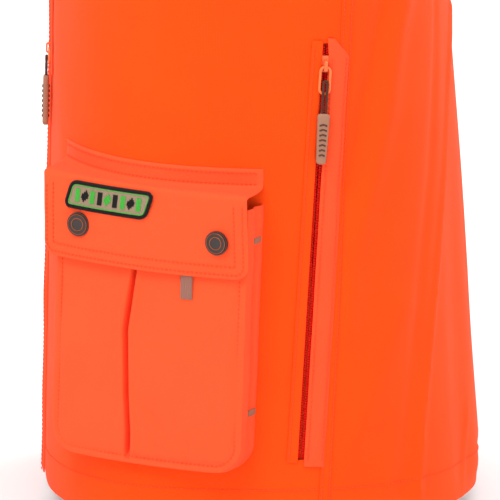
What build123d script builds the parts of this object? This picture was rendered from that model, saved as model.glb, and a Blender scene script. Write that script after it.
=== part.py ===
from build123d import *
from math import cos, pi, radians, sin
import os

# Zip-front field vest with bellows cargo pockets, worn upright.
# Millimetres.  -Y is the front, +X is the wearer's left, +Z is up.
# The body axis is x = y = 0 while modelling; every node is then moved so that
# the origin is the middle of the hanger loop inside the back of the collar.

# ---------------------------------------------------------------- shell
WALL = 2.4                 # shell fabric with its seam allowances
SECTION_POWER = 2.7        # superellipse power of the body's plan section
SECTION_STEPS = 14         # spans of the spline through half a section
HEM_Z = -660
LAST_STRAIGHT_Z = -300     # the sides are straight from the hem up to here
HALF_WIDTH = 180
FRONT_HEM, FRONT_NECK = 143, 131.2     # front depth falls evenly from hem to neck
BACK_HEM, BACK_ARMPIT = 150, 127       # back depth falls evenly from hem to armpit
NECK_FRONT_Z = -100
FRONT_GAP = 14             # gap between the two fronts, filled by the main zip

# side seam and shoulder seam
SEAM_Y_HEM, SEAM_Y_ARMPIT = 42, 58

# armholes, ovals seen from the side
ARM_Y, ARM_Z = -2, -174
ARM_HALF_Y, ARM_HALF_Z = 70, 116
BINDING = 3.2

# neckline and collar
NECK_HALF_X = 85
NECK_FRONT_Y, NECK_BACK_Y = -131, 72
NECK_BACK_Z = -30
NECK_SIDE_RISE = 24        # the neckline lies this much above its plane at the sides
COLLAR_HEIGHT = 48
COLLAR_SHRINK = 8          # its top edge is this much smaller in radius and set back as much
COLLAR_WALL, COLLAR_FACING = 2.2, 1.5
COLLAR_SEAM = 9            # its lower edge is tucked this far inside the neckline

# layers inside the shell, as depths below its outer face
TAPE_TOP, TAPE_BOTTOM = 2.7, 3.3
BAG_TOP, BAG_BOTTOM = 3.8, 5.0
LINING_TOP, LINING_BOTTOM = 6.8, 7.6
FACING = 1.6               # strips sewn on the outside
LIFT = 0.3                 # clearance under them

# ---------------------------------------------------------------- zips
CHAIN_HALF = 2.8           # half width of the closed chain
CHAIN_SLOT = 0.6           # half gap in which the slider's post runs
CHAIN_TOP, CHAIN_BOTTOM = 1.6, 3.7
TAPE_HALF = 13
SLIDER_LENGTH, SLIDER_HALF = 11, 3.9
PLATE = 1.5
UNDER_PLATE = 4.2          # depth of the lower plate's upper face
POST_HALF = 0.35
BAIL_HOLE = 2.6
BAIL_RISE = 1.1            # lower edge of the bail's hole above the slider's face
SLIT_HALF = 4.6            # half width of a pocket slit
SIDE_TOP_Z, SIDE_TOP_Y = -335, 46.5
SIDE_BOTTOM_Z, SIDE_BOTTOM_Y = -616, 30
GUARD_WIDTH = 12
CHEST_X = 38
CHEST_TOP_Z, CHEST_BOTTOM_Z = -205, -378
MAIN_BOTTOM_Z, MAIN_TOP_Z = -652, -60
MAIN_AT, SIDE_AT = 6, 8    # sliders at rest, below the tops of their zips
CHEST_FROM_BOTTOM = 20     # the chest zip closes downwards
LOOP_WIRE = 1.7
LOOP_WIDTH = 8.4
CORD = 1.8
TAB_WIDTH, TAB_LENGTH, TAB_THICK = 8.4, 34, 4.0

# ---------------------------------------------------------------- cargo pocket
POCKET_TURN = 26           # the pocket faces this far forward of square to the side
POCKET_X, POCKET_Y = 140, -57.2
POCKET_RADIUS = 268        # curve of its front, seen from above
POCKET_CREST = 40          # front of the pocket ahead of its local origin
POCKET_HALF = 70
POCKET_TILT = 2            # its back end hangs lower than its front end
POCKET_TOP_Z, POCKET_BOTTOM_Z = -440, -620
POCKET_WALL = 1.8
POCKET_CORNER = 18
SIDE_ENTRY_LENGTH, SIDE_ENTRY_WIDTH = 112, 3.6
SIDE_ENTRY_Z, SIDE_ENTRY_OUT = -521, 16
FLAP_HALF = 76
FLAP_FORWARD = 4           # the flap sits this much forward of the bag
FLAP_TOP_Z, FLAP_BOTTOM_Z = -428, -487
BAND_HEIGHT = 12           # topstitched strip of the flap on the shell, above the hinge line
FLAP_GAP = 3.0
FLAP_THICK = 2.2
HINGE_OUT = 38.5           # hinge line of the flap, ahead of the local origin
FLAP_CORNER = 9
CAP_RADIUS = 8
CAPS = (50, -52)           # places of the snaps along the flap
CAP_Z = -462.5
SOCKET_RADIUS, STUD_RADIUS = 6.2, 2.2
BADGE_LENGTH, BADGE_HEIGHT = 64, 19
BADGE_W, BADGE_Z = 27, -442.5
GRAB_W = -31

# ---------------------------------------------------------------- hanger loop
HANGER_HALF, HANGER_REACH = 28, 11
HANGER_Z = -16
HANGER_STRAP, HANGER_THICK = 7, 1.4

FAR = 400
NODES = {}


def between(low, high, share):
    """The value a share of the way from low to high."""
    return low + (high - low) * share


def front_depth(z):
    """Distance of the centre front from the body axis, an even slope."""
    return between(FRONT_HEM, FRONT_NECK, (z - HEM_Z) / (NECK_FRONT_Z - HEM_Z))


def back_depth(z):
    """Distance of the centre back from the body axis below the armpit."""
    return between(BACK_HEM, BACK_ARMPIT, (z - HEM_Z) / (LAST_STRAIGHT_Z - HEM_Z))


# height, half width, front depth, back depth of the body's sections
STRAIGHT = [(z, HALF_WIDTH, front_depth(z), back_depth(z)) for z in (HEM_Z, LAST_STRAIGHT_Z)]
SHOULDER = [
    (-220, 178, front_depth(-220), 123),
    (-160, 176, front_depth(-160), 119),
    (-112, 173, front_depth(-112), 112),
    (-98, 172, 128, 109),
    (-80, 169, 114, 103),
    (-60, 160, 96, 95),
    (-46, 142, 76, 86),
    (-36, 118, 54, 76),
    (-29, 92, 34, 66),
]


def section_point(angle, half_width, front, back):
    """Point of the plan section, at an angle counted from the wearer's left."""
    power = 2 / SECTION_POWER
    across, along = max(0, cos(angle)), sin(angle)
    depth = back if along > 0 else front
    return half_width * across ** power, depth * abs(along) ** power * (1 if along >= 0 else -1)


def section(z, half_width, front, back):
    """Closed plan section: a left half from front to back and its mirror image."""
    points = []
    for i in range(SECTION_STEPS + 1):
        x, y = section_point(pi * (i / SECTION_STEPS - 0.5), half_width, front, back)
        points.append((x, y, z))
    left = Spline(*points, tangents=((1, 0, 0), (-1, 0, 0)))
    return Face(Wire([left, left.mirror(Plane.YZ)]))


def side_x(y, z, offset=0):
    """Half width of the straight part of the body at a depth y."""
    depth = (back_depth(z) if y > 0 else front_depth(z)) + offset
    return (HALF_WIDTH + offset) * (1 - abs(y / depth) ** SECTION_POWER) ** (1 / SECTION_POWER)


def front_y(x, z, offset=0):
    """Depth of the front face at a distance x from the centre."""
    share = (1 - abs(x / (HALF_WIDTH + offset)) ** SECTION_POWER) ** (1 / SECTION_POWER)
    return -(front_depth(z) + offset) * share


BODIES = {}


def body(offset):
    """Solid body inside the shell's outer face moved out by offset."""
    if offset not in BODIES:
        faces = []
        for z, half_width, front, back in STRAIGHT + SHOULDER:
            rise = -2 if z == HEM_Z else offset * min(1, max(0, (z + 160) / 100))
            faces.append(section(z + rise, half_width + offset, front + offset, back + offset))
        BODIES[offset] = loft(faces, ruled=True)
    return BODIES[offset]


def side_prism(points, low, high):
    """Prism along X from x = low to x = high with an outline of (y, z) points."""
    outline = Plane.YZ * make_face(Polyline(*points, close=True))
    return Pos(low, 0, 0) * extrude(outline, high - low)


def slab(x0, x1, y0, y1, z0, z1):
    """Box between two corners."""
    return Pos((x0 + x1) / 2, (y0 + y1) / 2, (z0 + z1) / 2) * Box(x1 - x0, y1 - y0, z1 - z0)


def seam_y(z):
    """Depth of the side seam at a height."""
    return between(SEAM_Y_HEM, SEAM_Y_ARMPIT, (z - HEM_Z) / (LAST_STRAIGHT_Z - HEM_Z))


def front_half():
    """Everything in front of the side seams and the shoulder seams."""
    step_z = -200
    outline = [(-FAR, HEM_Z - 9), (seam_y(HEM_Z - 9), HEM_Z - 9), (seam_y(step_z), step_z), (-4, step_z)]
    return side_prism(outline + [(-4, 60), (-FAR, 60)], -FAR, FAR)


def oval_prism(grow, low, high):
    """Armhole oval grown by a margin, as a prism along X."""
    oval = Plane.YZ * Pos(ARM_Y, ARM_Z) * Ellipse(ARM_HALF_Y + grow, ARM_HALF_Z + grow)
    return Pos(low, 0, 0) * extrude(oval, high - low)


NECK_LENGTH = ((NECK_BACK_Y - NECK_FRONT_Y) ** 2 + (NECK_BACK_Z - NECK_FRONT_Z) ** 2) ** 0.5
NECK_PLANE = Plane(
    origin=(0, (NECK_FRONT_Y + NECK_BACK_Y) / 2, (NECK_FRONT_Z + NECK_BACK_Z) / 2),
    x_dir=(1, 0, 0),
    z_dir=(0, NECK_FRONT_Z - NECK_BACK_Z, NECK_BACK_Y - NECK_FRONT_Y),
)


def neck_hole(grow=0):
    """Prism that opens the neck, square to the neckline's plane."""
    oval = Ellipse(NECK_HALF_X + grow, NECK_LENGTH / 2 + grow)
    return NECK_PLANE.location * Pos(0, 0, -22) * extrude(oval, 160)


def skin(outer, inner):
    """Layer of the garment between two depths below its outer face, opened at neck and arms."""
    layer = body(-outer) - body(-inner) - slab(-FAR, FAR, -FAR, FAR, HEM_Z - 20, HEM_Z)
    layer -= neck_hole(COLLAR_WALL + 1.9)
    for low, high in ((90, FAR), (-FAR, -90)):
        layer -= oval_prism(BINDING + 0.2, low, high)
    return layer


def patch(outer, inner, region):
    """Part of the layer between two depths that lies in a region, with no openings cut."""
    return (body(-outer) & region) - body(-inner)


def largest(shape):
    """The biggest solid of a shape, which drops slivers left by a cut."""
    return max(shape.solids(), key=lambda solid: solid.volume)


def keep(name, shape):
    """Store a node as a compound of its solids."""
    solids = [solid for solid in shape.solids() if solid.volume > 0.5]
    NODES[name] = Compound(solids)


def keep_pair(name, shape):
    """Store a left node and its mirror image."""
    keep("left_" + name, shape)
    keep("right_" + name, mirror(shape, about=Plane.YZ))


# ---------------------------------------------------------------- zip lines
class ZipLine:
    """Straight zip from its bottom end to its top end, lying on the shell."""

    def __init__(self, bottom, top, outward, loop_length, cord_reach):
        self.loop_length = loop_length
        self.cord_reach = cord_reach       # from the hinge down to the tab
        self.bottom = Vector(*bottom)
        self.top = Vector(*top)
        self.along = (self.top - self.bottom).normalized()
        self.length = (self.top - self.bottom).length
        self.side = Vector(*outward).cross(self.along).normalized()
        self.outward = self.along.cross(self.side)

    def frame(self, distance_from_top=0):
        """Local X across the zip, local Y out of the cloth, local Z up the zip."""
        origin = self.top - self.along * distance_from_top
        return Plane(origin=origin, x_dir=self.side, z_dir=self.along).location

    def bar(self, x0, x1, out0, out1, from_top, to_top):
        """Straight bar between two places across, two heights and two distances from the top."""
        return self.frame() * slab(x0, x1, out0, out1, -to_top, -from_top)

    def tapes(self, flat):
        """Two tapes inside the cloth, either flat or following its curve."""
        result = []
        for sign in (-1, 1):
            low, high = sorted((sign * (CHAIN_SLOT + 0.1), sign * TAPE_HALF))
            if flat:
                result.append(self.bar(low, high, -TAPE_BOTTOM, -TAPE_TOP, 0, self.length).solid())
            else:
                region = self.bar(low, high, -30, 30, 0, self.length)
                result.append(largest(patch(TAPE_TOP, TAPE_BOTTOM, region)))
        return Compound(result)

    def chain(self):
        """Two rows of coil, drawn just parted so that the slider's post can run between them."""
        rows = []
        for sign in (-1, 1):
            low, high = sorted((sign * CHAIN_SLOT, sign * CHAIN_HALF))
            rows.append(self.bar(low, high, -CHAIN_BOTTOM, -CHAIN_TOP, 2, self.length - 2).solid())
        return Compound(rows)

    def slider(self, at):
        """Slider with a top plate, a bottom plate, the post between them and a bail."""
        top = slab(-SLIDER_HALF, SLIDER_HALF, 0.3 - CHAIN_TOP, 0.3 - CHAIN_TOP + PLATE, -SLIDER_LENGTH, 0)
        top = fillet(top.edges().filter_by(Axis.Y), 1.6)
        under = slab(-SLIDER_HALF, SLIDER_HALF, -UNDER_PLATE - PLATE, -UNDER_PLATE, -SLIDER_LENGTH, 0)
        post = slab(-POST_HALF, POST_HALF, -UNDER_PLATE - 0.2, -CHAIN_TOP + 0.5, -4, -0.5)
        face = 0.3 - CHAIN_TOP + PLATE
        bail = slab(-1.1, 1.1, face - 0.2, face + BAIL_RISE + BAIL_HOLE + 1.1, -10.2, -3)
        bail = fillet(bail.edges().filter_by(Axis.X).sort_by(Axis.Y)[-2:], 1.6)
        hole = slab(-2, 2, face + BAIL_RISE, face + BAIL_RISE + BAIL_HOLE, -9, -4.4)
        return self.frame(at) * (top + under + post + bail - hole)

    def hinge_point(self, at):
        """Middle of the bail's hole, where the pull swings."""
        out = 0.3 - CHAIN_TOP + PLATE + BAIL_RISE + BAIL_HOLE / 2
        return self.top - self.along * (at + 7.2) + self.outward * out

    def pull_frame(self, at):
        """Pull frame at the hinge point: local X across, Y out, Z up."""
        return Plane(origin=self.hinge_point(at), x_dir=self.side, z_dir=self.along).location

    def wire_loop(self, at):
        """Stamped wire loop through the bail, hanging down the zip."""
        corner = min(LOOP_WIDTH, self.loop_length) / 2 - 0.3
        ring = RectangleRounded(LOOP_WIDTH, self.loop_length, corner)
        inner_width, inner_length = LOOP_WIDTH - 2 * LOOP_WIRE, self.loop_length - 2 * LOOP_WIRE
        ring -= RectangleRounded(inner_width, inner_length, corner - LOOP_WIRE)
        solid = extrude(Plane.XZ * ring, LOOP_WIRE / 2, both=True)
        solid = fillet(solid.edges().filter_by(Axis.Y, reverse=True), 0.4)
        return self.pull_frame(at) * Pos(0, 0, LOOP_WIRE / 2 - self.loop_length / 2) * solid

    def pull_cord(self, at):
        """Hairpin of cord over the loop's lower end, its two ends moulded into the tab."""
        top, foot = -self.loop_length * 0.55, -self.cord_reach
        half = 1.3
        out = LOOP_WIRE / 2 + CORD / 2 + 0.1
        path = Wire([
            Edge.make_line((half, out, foot), (half, out, top)),
            Edge.make_three_point_arc((half, out, top), (0, out, top + half), (-half, out, top)),
            Edge.make_line((-half, out, top), (-half, out, foot)),
        ])
        profile = Plane(origin=(half, out, foot), z_dir=(0, 0, 1)) * Circle(CORD / 2)
        return self.pull_frame(at) * sweep(profile, path=path)

    def tab(self, at):
        """Moulded tab at the end of the cord, narrower at its foot."""
        out = LOOP_WIRE / 2 + CORD / 2 + 0.1
        half = TAB_WIDTH / 2
        right = [(half - 1, 0), (half, -2), (half - 0.9, -TAB_LENGTH)]
        left = [(-x, z) for x, z in reversed(right)]
        outline = Polyline(*right, *left, close=True)
        solid = extrude(Plane.XZ * make_face(outline), TAB_THICK / 2, both=True)
        solid = fillet(solid.edges(), 0.8)
        return self.pull_frame(at) * Pos(0, out, -self.cord_reach) * solid


MAIN = ZipLine(
    (0, front_y(0, MAIN_BOTTOM_Z), MAIN_BOTTOM_Z),
    (0, -front_depth(MAIN_TOP_Z), MAIN_TOP_Z),
    (0, -1, 0), 12, 20,
)
SIDE = ZipLine(
    (side_x(SIDE_BOTTOM_Y, SIDE_BOTTOM_Z), SIDE_BOTTOM_Y, SIDE_BOTTOM_Z),
    (side_x(SIDE_TOP_Y, SIDE_TOP_Z), SIDE_TOP_Y, SIDE_TOP_Z),
    (1, 0.1, 0), 19.5, 31,
)
CHEST = ZipLine(
    (CHEST_X, front_y(CHEST_X, CHEST_BOTTOM_Z), CHEST_BOTTOM_Z),
    (CHEST_X, front_y(CHEST_X, CHEST_TOP_Z), CHEST_TOP_Z),
    (0.02, -1, 0), 11.5, 18,
)


# ---------------------------------------------------------------- shell nodes
def build_shell():
    """Fronts, back, lining, facings, bindings, plackets."""
    shell = skin(0, WALL)
    front = front_half()
    side_slit = SIDE.bar(-SLIT_HALF, SLIT_HALF, -20, 20, 0, SIDE.length)
    chest_slit = CHEST.bar(-SLIT_HALF, SLIT_HALF, -20, 20, 0, CHEST.length)
    half = FRONT_GAP / 2
    panel = largest((shell & front & slab(half, FAR, -FAR, FAR, -FAR * 2, FAR)) - side_slit)
    keep("left_front_panel", largest(panel - chest_slit))
    keep("right_front_panel", mirror(panel, about=Plane.YZ))
    keep("back_panel", largest(shell - front))
    gap = slab(-half - 1, half + 1, -FAR, 0, -FAR * 2, FAR)
    lining = skin(LINING_TOP, LINING_BOTTOM) - slab(-FAR, FAR, -FAR, FAR, -FAR * 2, HEM_Z + 6)
    keep("mesh_lining", largest(lining - gap))
    ring = body(-WALL - 0.3) - body(-LINING_TOP + 0.3)
    keep("hem_facing", largest((ring & slab(-FAR, FAR, -FAR, FAR, HEM_Z, HEM_Z + 26)) - gap))
    bind = body(0.8) - body(-LINING_BOTTOM - 0.8)
    bind = bind & (oval_prism(BINDING, 90, FAR) - oval_prism(0, 80, FAR + 10))
    keep_pair("armhole_binding", largest(bind))
    strip = slab(half + 0.5, half + 22, -FAR, 0, HEM_Z, NECK_FRONT_Z - 12)
    keep_pair("placket", largest(patch(-LIFT - FACING, -LIFT, strip)))


def collar_cone(grow):
    """Leaning cone inside the collar, grown by a margin, in the neckline's local frame."""
    faces = []
    for height in (-COLLAR_SEAM - 6, COLLAR_HEIGHT + NECK_SIDE_RISE * 2):
        shrink = COLLAR_SHRINK * height / COLLAR_HEIGHT
        oval = Ellipse(NECK_HALF_X - shrink + grow, NECK_LENGTH / 2 - shrink + grow)
        faces.append(Pos(0, shrink, height) * oval)
    return loft(faces)


def collar_layer(outer, inner, top):
    """Layer of the stand collar between two margins, open at the front."""
    reach = NECK_HALF_X + 10
    rise = NECK_SIDE_RISE * (reach / NECK_HALF_X) ** 2
    upper = ThreePointArc((-reach, top + rise), (0, top), (reach, top + rise))
    lower = ThreePointArc((-reach, rise - COLLAR_SEAM), (0, -COLLAR_SEAM), (reach, rise - COLLAR_SEAM))
    outline = make_face([upper, Line(upper @ 1, lower @ 1), lower, Line(lower @ 0, upper @ 0)])
    saddle = extrude(Plane.XZ * outline, FAR / 2, both=True)
    layer = NECK_PLANE.location * ((collar_cone(outer) - collar_cone(inner)) & saddle)
    return largest(layer - slab(-FRONT_GAP / 2, FRONT_GAP / 2, -FAR, -60, -FAR, FAR))


def build_collar():
    """Stand collar and its facing."""
    keep("collar", collar_layer(COLLAR_WALL, 0, COLLAR_HEIGHT))
    keep("collar_facing", collar_layer(-0.3, -0.3 - COLLAR_FACING, COLLAR_HEIGHT - 1))


# ---------------------------------------------------------------- zip nodes
def surface_strip(line, x0, x1, z0, z1):
    """Strip sewn on the shell beside a zip: across from x0 to x1, z0 to z1 below the zip's top."""
    region = line.bar(x0, x1, -30, 30, z0, z1)
    return largest(patch(-LIFT - FACING, -LIFT, region))


def pouch(line, across, z_low, z_high):
    """Flat pocket bag between shell and lining, forward of a zip or outboard of it."""
    low, high = sorted(across)
    region = line.bar(low, high, -60, 30, z_high, z_low)
    return largest(patch(BAG_TOP, BAG_BOTTOM, region))


def build_zip(prefix, line, at, both_sides):
    """Tapes, chain, slider, wire loop, cord and tab of one zip."""
    store = keep_pair if both_sides else keep
    store(prefix + "_zip_tapes", line.tapes(flat=prefix == "main"))
    store(prefix + "_zip_chain", line.chain())
    store(prefix + "_zip_slider", line.slider(at))
    store(prefix + "_pull_loop", line.wire_loop(at))
    store(prefix + "_pull_cord", line.pull_cord(at))
    store(prefix + "_pull_tab", line.tab(at))


def build_zips():
    """Main zip, two side pocket zips, chest pocket zip, with their guards and pocket bags."""
    build_zip("main", MAIN, MAIN_AT, False)
    build_zip("side", SIDE, SIDE_AT, True)
    build_zip("chest", CHEST, CHEST.length - CHEST_FROM_BOTTOM, False)
    guard = surface_strip(SIDE, -SLIT_HALF - GUARD_WIDTH, -SLIT_HALF, -4, SIDE.length + 4)
    keep_pair("side_zip_guard", guard)
    keep("chest_zip_guard", surface_strip(CHEST, -SLIT_HALF - 7, -SLIT_HALF, -4, CHEST.length + 4))
    keep_pair("side_pocket_bag", pouch(SIDE, (7, 120), SIDE.length + 8, 10))
    keep("chest_pocket_bag", pouch(CHEST, (-7, -92), CHEST.length + 8, 4))


# ---------------------------------------------------------------- cargo pocket nodes
POCKET = Plane(
    origin=(POCKET_X, POCKET_Y, 0),
    x_dir=(-sin(radians(POCKET_TURN)), -cos(radians(POCKET_TURN)), 0),
    z_dir=(0, 0, 1),
)
# the pocket is sewn on slightly tilted in its own plane, about a point at its middle height
POCKET_MIDDLE_Z = (POCKET_TOP_Z + POCKET_BOTTOM_Z) / 2
TILT = Pos(0, 0, POCKET_MIDDLE_Z) * Rot(0, -POCKET_TILT, 0) * Pos(0, 0, -POCKET_MIDDLE_Z)
PLACE = POCKET.location * TILT
ARC_CENTRE = POCKET_CREST - POCKET_RADIUS


def arc_out(w, ahead=0):
    """Distance from the local origin to the pocket's front at a place w along it."""
    return ARC_CENTRE + ((POCKET_RADIUS + ahead) ** 2 - w * w) ** 0.5


def drum(ahead, z0, z1):
    """Upright cylinder whose wall is the pocket's curved front moved out by ahead."""
    return Pos(0, ARC_CENTRE, (z0 + z1) / 2) * Cylinder(POCKET_RADIUS + ahead, z1 - z0)


def front_plate(half, z0, z1, corner, out0=-40, out1=90):
    """Prism through the pocket along its facing direction, with rounded lower corners."""
    block = slab(-half, half, out0, out1, z0, z1)
    low_edges = [e for e in block.edges().filter_by(Axis.Y) if e.center().Z < z0 + 1]
    return fillet(low_edges, corner)


def local_body(offset):
    """The body's solid seen from the pocket's local frame."""
    return PLACE.inverse() * (body(offset) & slab(0, FAR, -FAR, 120, HEM_Z + 4, -380))


def build_bag(wearer):
    """Bellows bag: a front, two gussets and a bottom, open at the top and against the shell."""
    outer = front_plate(POCKET_HALF, POCKET_BOTTOM_Z, POCKET_TOP_Z, POCKET_CORNER) & drum(0, -FAR * 2, 0)
    inner = front_plate(
        POCKET_HALF - POCKET_WALL, POCKET_BOTTOM_Z + POCKET_WALL,
        POCKET_TOP_Z + 5, POCKET_CORNER - POCKET_WALL,
    ) & drum(-POCKET_WALL, -FAR * 2, 0)
    entry = slab(
        -POCKET_HALF - 5, -POCKET_HALF + 5, SIDE_ENTRY_OUT, SIDE_ENTRY_OUT + SIDE_ENTRY_WIDTH,
        SIDE_ENTRY_Z - SIDE_ENTRY_LENGTH / 2, SIDE_ENTRY_Z + SIDE_ENTRY_LENGTH / 2,
    )
    return largest(outer - inner - wearer - entry)


def build_flap():
    """Flap below its hinge line: a short shelf from the hinge and a curved skirt."""
    front = FLAP_GAP + FLAP_THICK
    skirt = drum(front, FLAP_BOTTOM_Z, FLAP_TOP_Z - 4) - drum(FLAP_GAP, FLAP_BOTTOM_Z - 1, FLAP_TOP_Z)
    ahead = slab(-FAR, FAR, HINGE_OUT + 0.5, FAR, -FAR * 2, 0)
    shelf = drum(front, FLAP_TOP_Z - 4, FLAP_TOP_Z - 1.8) & ahead
    blank = front_plate(FLAP_HALF, FLAP_BOTTOM_Z, FLAP_TOP_Z + 5, FLAP_CORNER, HINGE_OUT - 30)
    blank = Pos(FLAP_FORWARD, 0, 0) * blank
    return largest((skirt + shelf) & blank)


def build_band(wearer):
    """Sewn band of the flap, from the shell out to the hinge line."""
    back_end, front_end = FLAP_FORWARD - FLAP_HALF, FLAP_FORWARD + FLAP_HALF
    shelf = slab(back_end, front_end, -5, HINGE_OUT, FLAP_TOP_Z - 3.4, FLAP_TOP_Z)
    strip = slab(back_end, front_end, -5, 60, FLAP_TOP_Z - 1, FLAP_TOP_Z + BAND_HEIGHT)
    strip &= local_body(0.4 + FACING)
    return largest((shelf + strip) - wearer)


def snap_cap():
    """Domed cap with a raised rim and a ring groove, facing +Z."""
    cap = Cylinder(CAP_RADIUS, 1.6) + Pos(0, 0, 0.8) * Cylinder(CAP_RADIUS - 1.2, 1.6)
    cap = fillet(cap.edges().filter_by(GeomType.CIRCLE).sort_by(Axis.Z)[-1:], 0.7)
    groove = Pos(0, 0, 1.6) * (Cylinder(4.6, 1) - Cylinder(3.8, 1.2))
    return cap - groove


def facing_out(w, z, ahead):
    """Location on the pocket's front whose local Z points along the pocket's facing direction."""
    return Pos(w, arc_out(w, ahead), z) * Rot(-90, 0, 0)


def build_cargo():
    """Bag, flap, snaps, grab tab, bartacks and badge, placed on both sides of the body."""
    wearer = local_body(0.4)
    bag = build_bag(wearer)
    keep_pair("cargo_bag", PLACE * bag)
    keep_pair("cargo_flap", PLACE * build_flap())
    keep_pair("cargo_flap_band", PLACE * build_band(wearer))
    caps, sockets, studs = [], [], []
    front = FLAP_GAP + FLAP_THICK
    for w in CAPS:
        caps.append((facing_out(w, CAP_Z, front + 0.6) * snap_cap()).solid())
        socket = Cylinder(SOCKET_RADIUS, 1.5) - Cylinder(STUD_RADIUS + 0.5, 2)
        sockets.append((facing_out(w, CAP_Z, FLAP_GAP - 0.6) * socket).solid())
        stud = Cylinder(STUD_RADIUS, 1.6) + Pos(0, 0, -1) * Cylinder(4.4, 1.2)
        studs.append((facing_out(w, CAP_Z, 0.9) * stud).solid())
    keep_pair("snap_caps", PLACE * Compound(caps))
    keep_pair("snap_sockets", PLACE * Compound(sockets))
    keep_pair("snap_studs", PLACE * Compound(studs))
    strip = slab(GRAB_W - 4.2, GRAB_W + 4.2, -FAR, FAR, FLAP_BOTTOM_Z - 14, FLAP_BOTTOM_Z + 8)
    grab = drum(FLAP_GAP - 0.1, FLAP_BOTTOM_Z - 14, FLAP_BOTTOM_Z + 8) - drum(FLAP_GAP - 1.3, -FAR * 2, 0)
    keep_pair("flap_grab_tab", PLACE * largest(grab & strip))
    ends = []
    for sign in (-1, 1):
        z = SIDE_ENTRY_Z + sign * (SIDE_ENTRY_LENGTH / 2 + 2.6)
        low, high = SIDE_ENTRY_OUT - 3, SIDE_ENTRY_OUT + 7
        ends.append(slab(-POCKET_HALF - 1.2, -POCKET_HALF - 0.05, low, high, z - 2, z + 2).solid())
    keep_pair("side_entry_bartacks", PLACE * Compound(ends))
    half, tall, lean = BADGE_LENGTH / 2, BADGE_HEIGHT / 2, 3
    corners = [(half - lean, tall), (-half - lean, tall), (-half + lean, -tall), (half + lean, -tall)]
    outline = fillet(make_face(Polyline(*corners, close=True)).vertices(), 4)
    blank = extrude(Plane.XZ * outline, 100, both=True)
    layer = drum(front + 1.5, -500, -420) - drum(front + 0.1, -501, -419)
    badge = layer & (Pos(BADGE_W, 0, BADGE_Z) * blank)
    keep("flap_badge", PLACE * max(badge.solids(), key=lambda solid: solid.center().Y))


# ---------------------------------------------------------------- hanger loop
def collar_inside_y(x):
    """Depth of the collar facing's inner side at the back, at the hanger loop's height."""
    inset = COLLAR_FACING + 0.3
    along = (NECK_LENGTH / 2 - inset - 1) * (1 - (x / (NECK_HALF_X - inset - 1)) ** 2) ** 0.5
    normal = NECK_PLANE.z_dir
    rise = (HANGER_Z - NECK_PLANE.origin.Z - along * normal.Y * -1) / normal.Z
    return NECK_PLANE.origin.Y + along * normal.Z + rise * normal.Y


HANGER_ORIGIN = Vector(0, collar_inside_y(0) - HANGER_REACH / 2, HANGER_Z)


def build_hanger():
    """Strap loop whose two ends are sewn to the collar facing."""
    end_y = collar_inside_y(HANGER_HALF) - 0.4
    middle_y = collar_inside_y(0) - HANGER_REACH
    near = ThreePointArc((-HANGER_HALF, end_y), (0, middle_y), (HANGER_HALF, end_y))
    far = ThreePointArc(
        (-HANGER_HALF, end_y + HANGER_THICK),
        (0, middle_y + HANGER_THICK),
        (HANGER_HALF, end_y + HANGER_THICK),
    )
    outline = make_face([near, Line(near @ 1, far @ 1), far, Line(far @ 0, near @ 0)])
    keep("hanger_loop", Pos(0, 0, HANGER_Z - HANGER_STRAP / 2) * extrude(outline, HANGER_STRAP))


def main():
    """Build every node, move it to the hanger loop's frame and write it."""
    build_shell()
    build_collar()
    build_zips()
    build_cargo()
    build_hanger()
    os.makedirs("parts", exist_ok=True)
    shift = Location(-HANGER_ORIGIN)
    for name, shape in NODES.items():
        export_step(shape.moved(shift), f"parts/{name}.step")


if __name__ == "__main__":
    main()
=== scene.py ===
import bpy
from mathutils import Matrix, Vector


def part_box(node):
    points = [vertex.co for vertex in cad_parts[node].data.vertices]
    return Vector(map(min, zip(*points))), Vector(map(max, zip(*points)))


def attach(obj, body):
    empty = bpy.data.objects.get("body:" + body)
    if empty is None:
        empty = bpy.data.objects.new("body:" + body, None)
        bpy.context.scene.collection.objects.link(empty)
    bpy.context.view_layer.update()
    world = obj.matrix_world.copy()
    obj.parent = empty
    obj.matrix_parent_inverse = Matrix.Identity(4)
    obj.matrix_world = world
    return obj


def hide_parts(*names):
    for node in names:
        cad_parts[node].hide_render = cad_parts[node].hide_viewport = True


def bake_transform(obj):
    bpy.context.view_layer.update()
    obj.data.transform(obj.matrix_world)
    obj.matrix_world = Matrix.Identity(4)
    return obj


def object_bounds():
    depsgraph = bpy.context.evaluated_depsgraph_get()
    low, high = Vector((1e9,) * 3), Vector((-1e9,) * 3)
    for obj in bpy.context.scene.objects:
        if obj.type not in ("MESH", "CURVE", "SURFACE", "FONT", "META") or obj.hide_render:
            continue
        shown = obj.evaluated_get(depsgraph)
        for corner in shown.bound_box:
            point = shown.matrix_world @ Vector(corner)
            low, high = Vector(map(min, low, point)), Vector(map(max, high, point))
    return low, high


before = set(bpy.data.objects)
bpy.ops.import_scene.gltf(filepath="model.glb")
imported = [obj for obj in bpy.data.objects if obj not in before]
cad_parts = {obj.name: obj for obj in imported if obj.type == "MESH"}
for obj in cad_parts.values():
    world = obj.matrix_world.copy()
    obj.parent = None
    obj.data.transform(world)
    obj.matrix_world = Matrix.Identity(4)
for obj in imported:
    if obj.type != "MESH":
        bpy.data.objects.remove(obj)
CAD_BOX = [list(corner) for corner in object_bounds()]

from math import cos, pi, radians, sin, sqrt

import bpy
import numpy as np
from mathutils import Vector

# Zip-front field vest, worn upright.  Shapes are worked out in millimetres in the
# wearer's frame (-Y front, +X the wearer's left) and moved to the row frame when a
# mesh is made.  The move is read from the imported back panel's box.
HEM = -660.0
BACK_HEM = 150.0
back_low, back_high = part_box("back_panel")
SHIFT = np.array([0.0, back_high[1] * 1000 - BACK_HEM, back_low[2] * 1000 - HEM])

POWER = 2.7
FRONT_HEM, FRONT_SLOPE = 143.0, 11.8 / 560
SHELL_THICK = 1.4
GAP = 7.0


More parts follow.
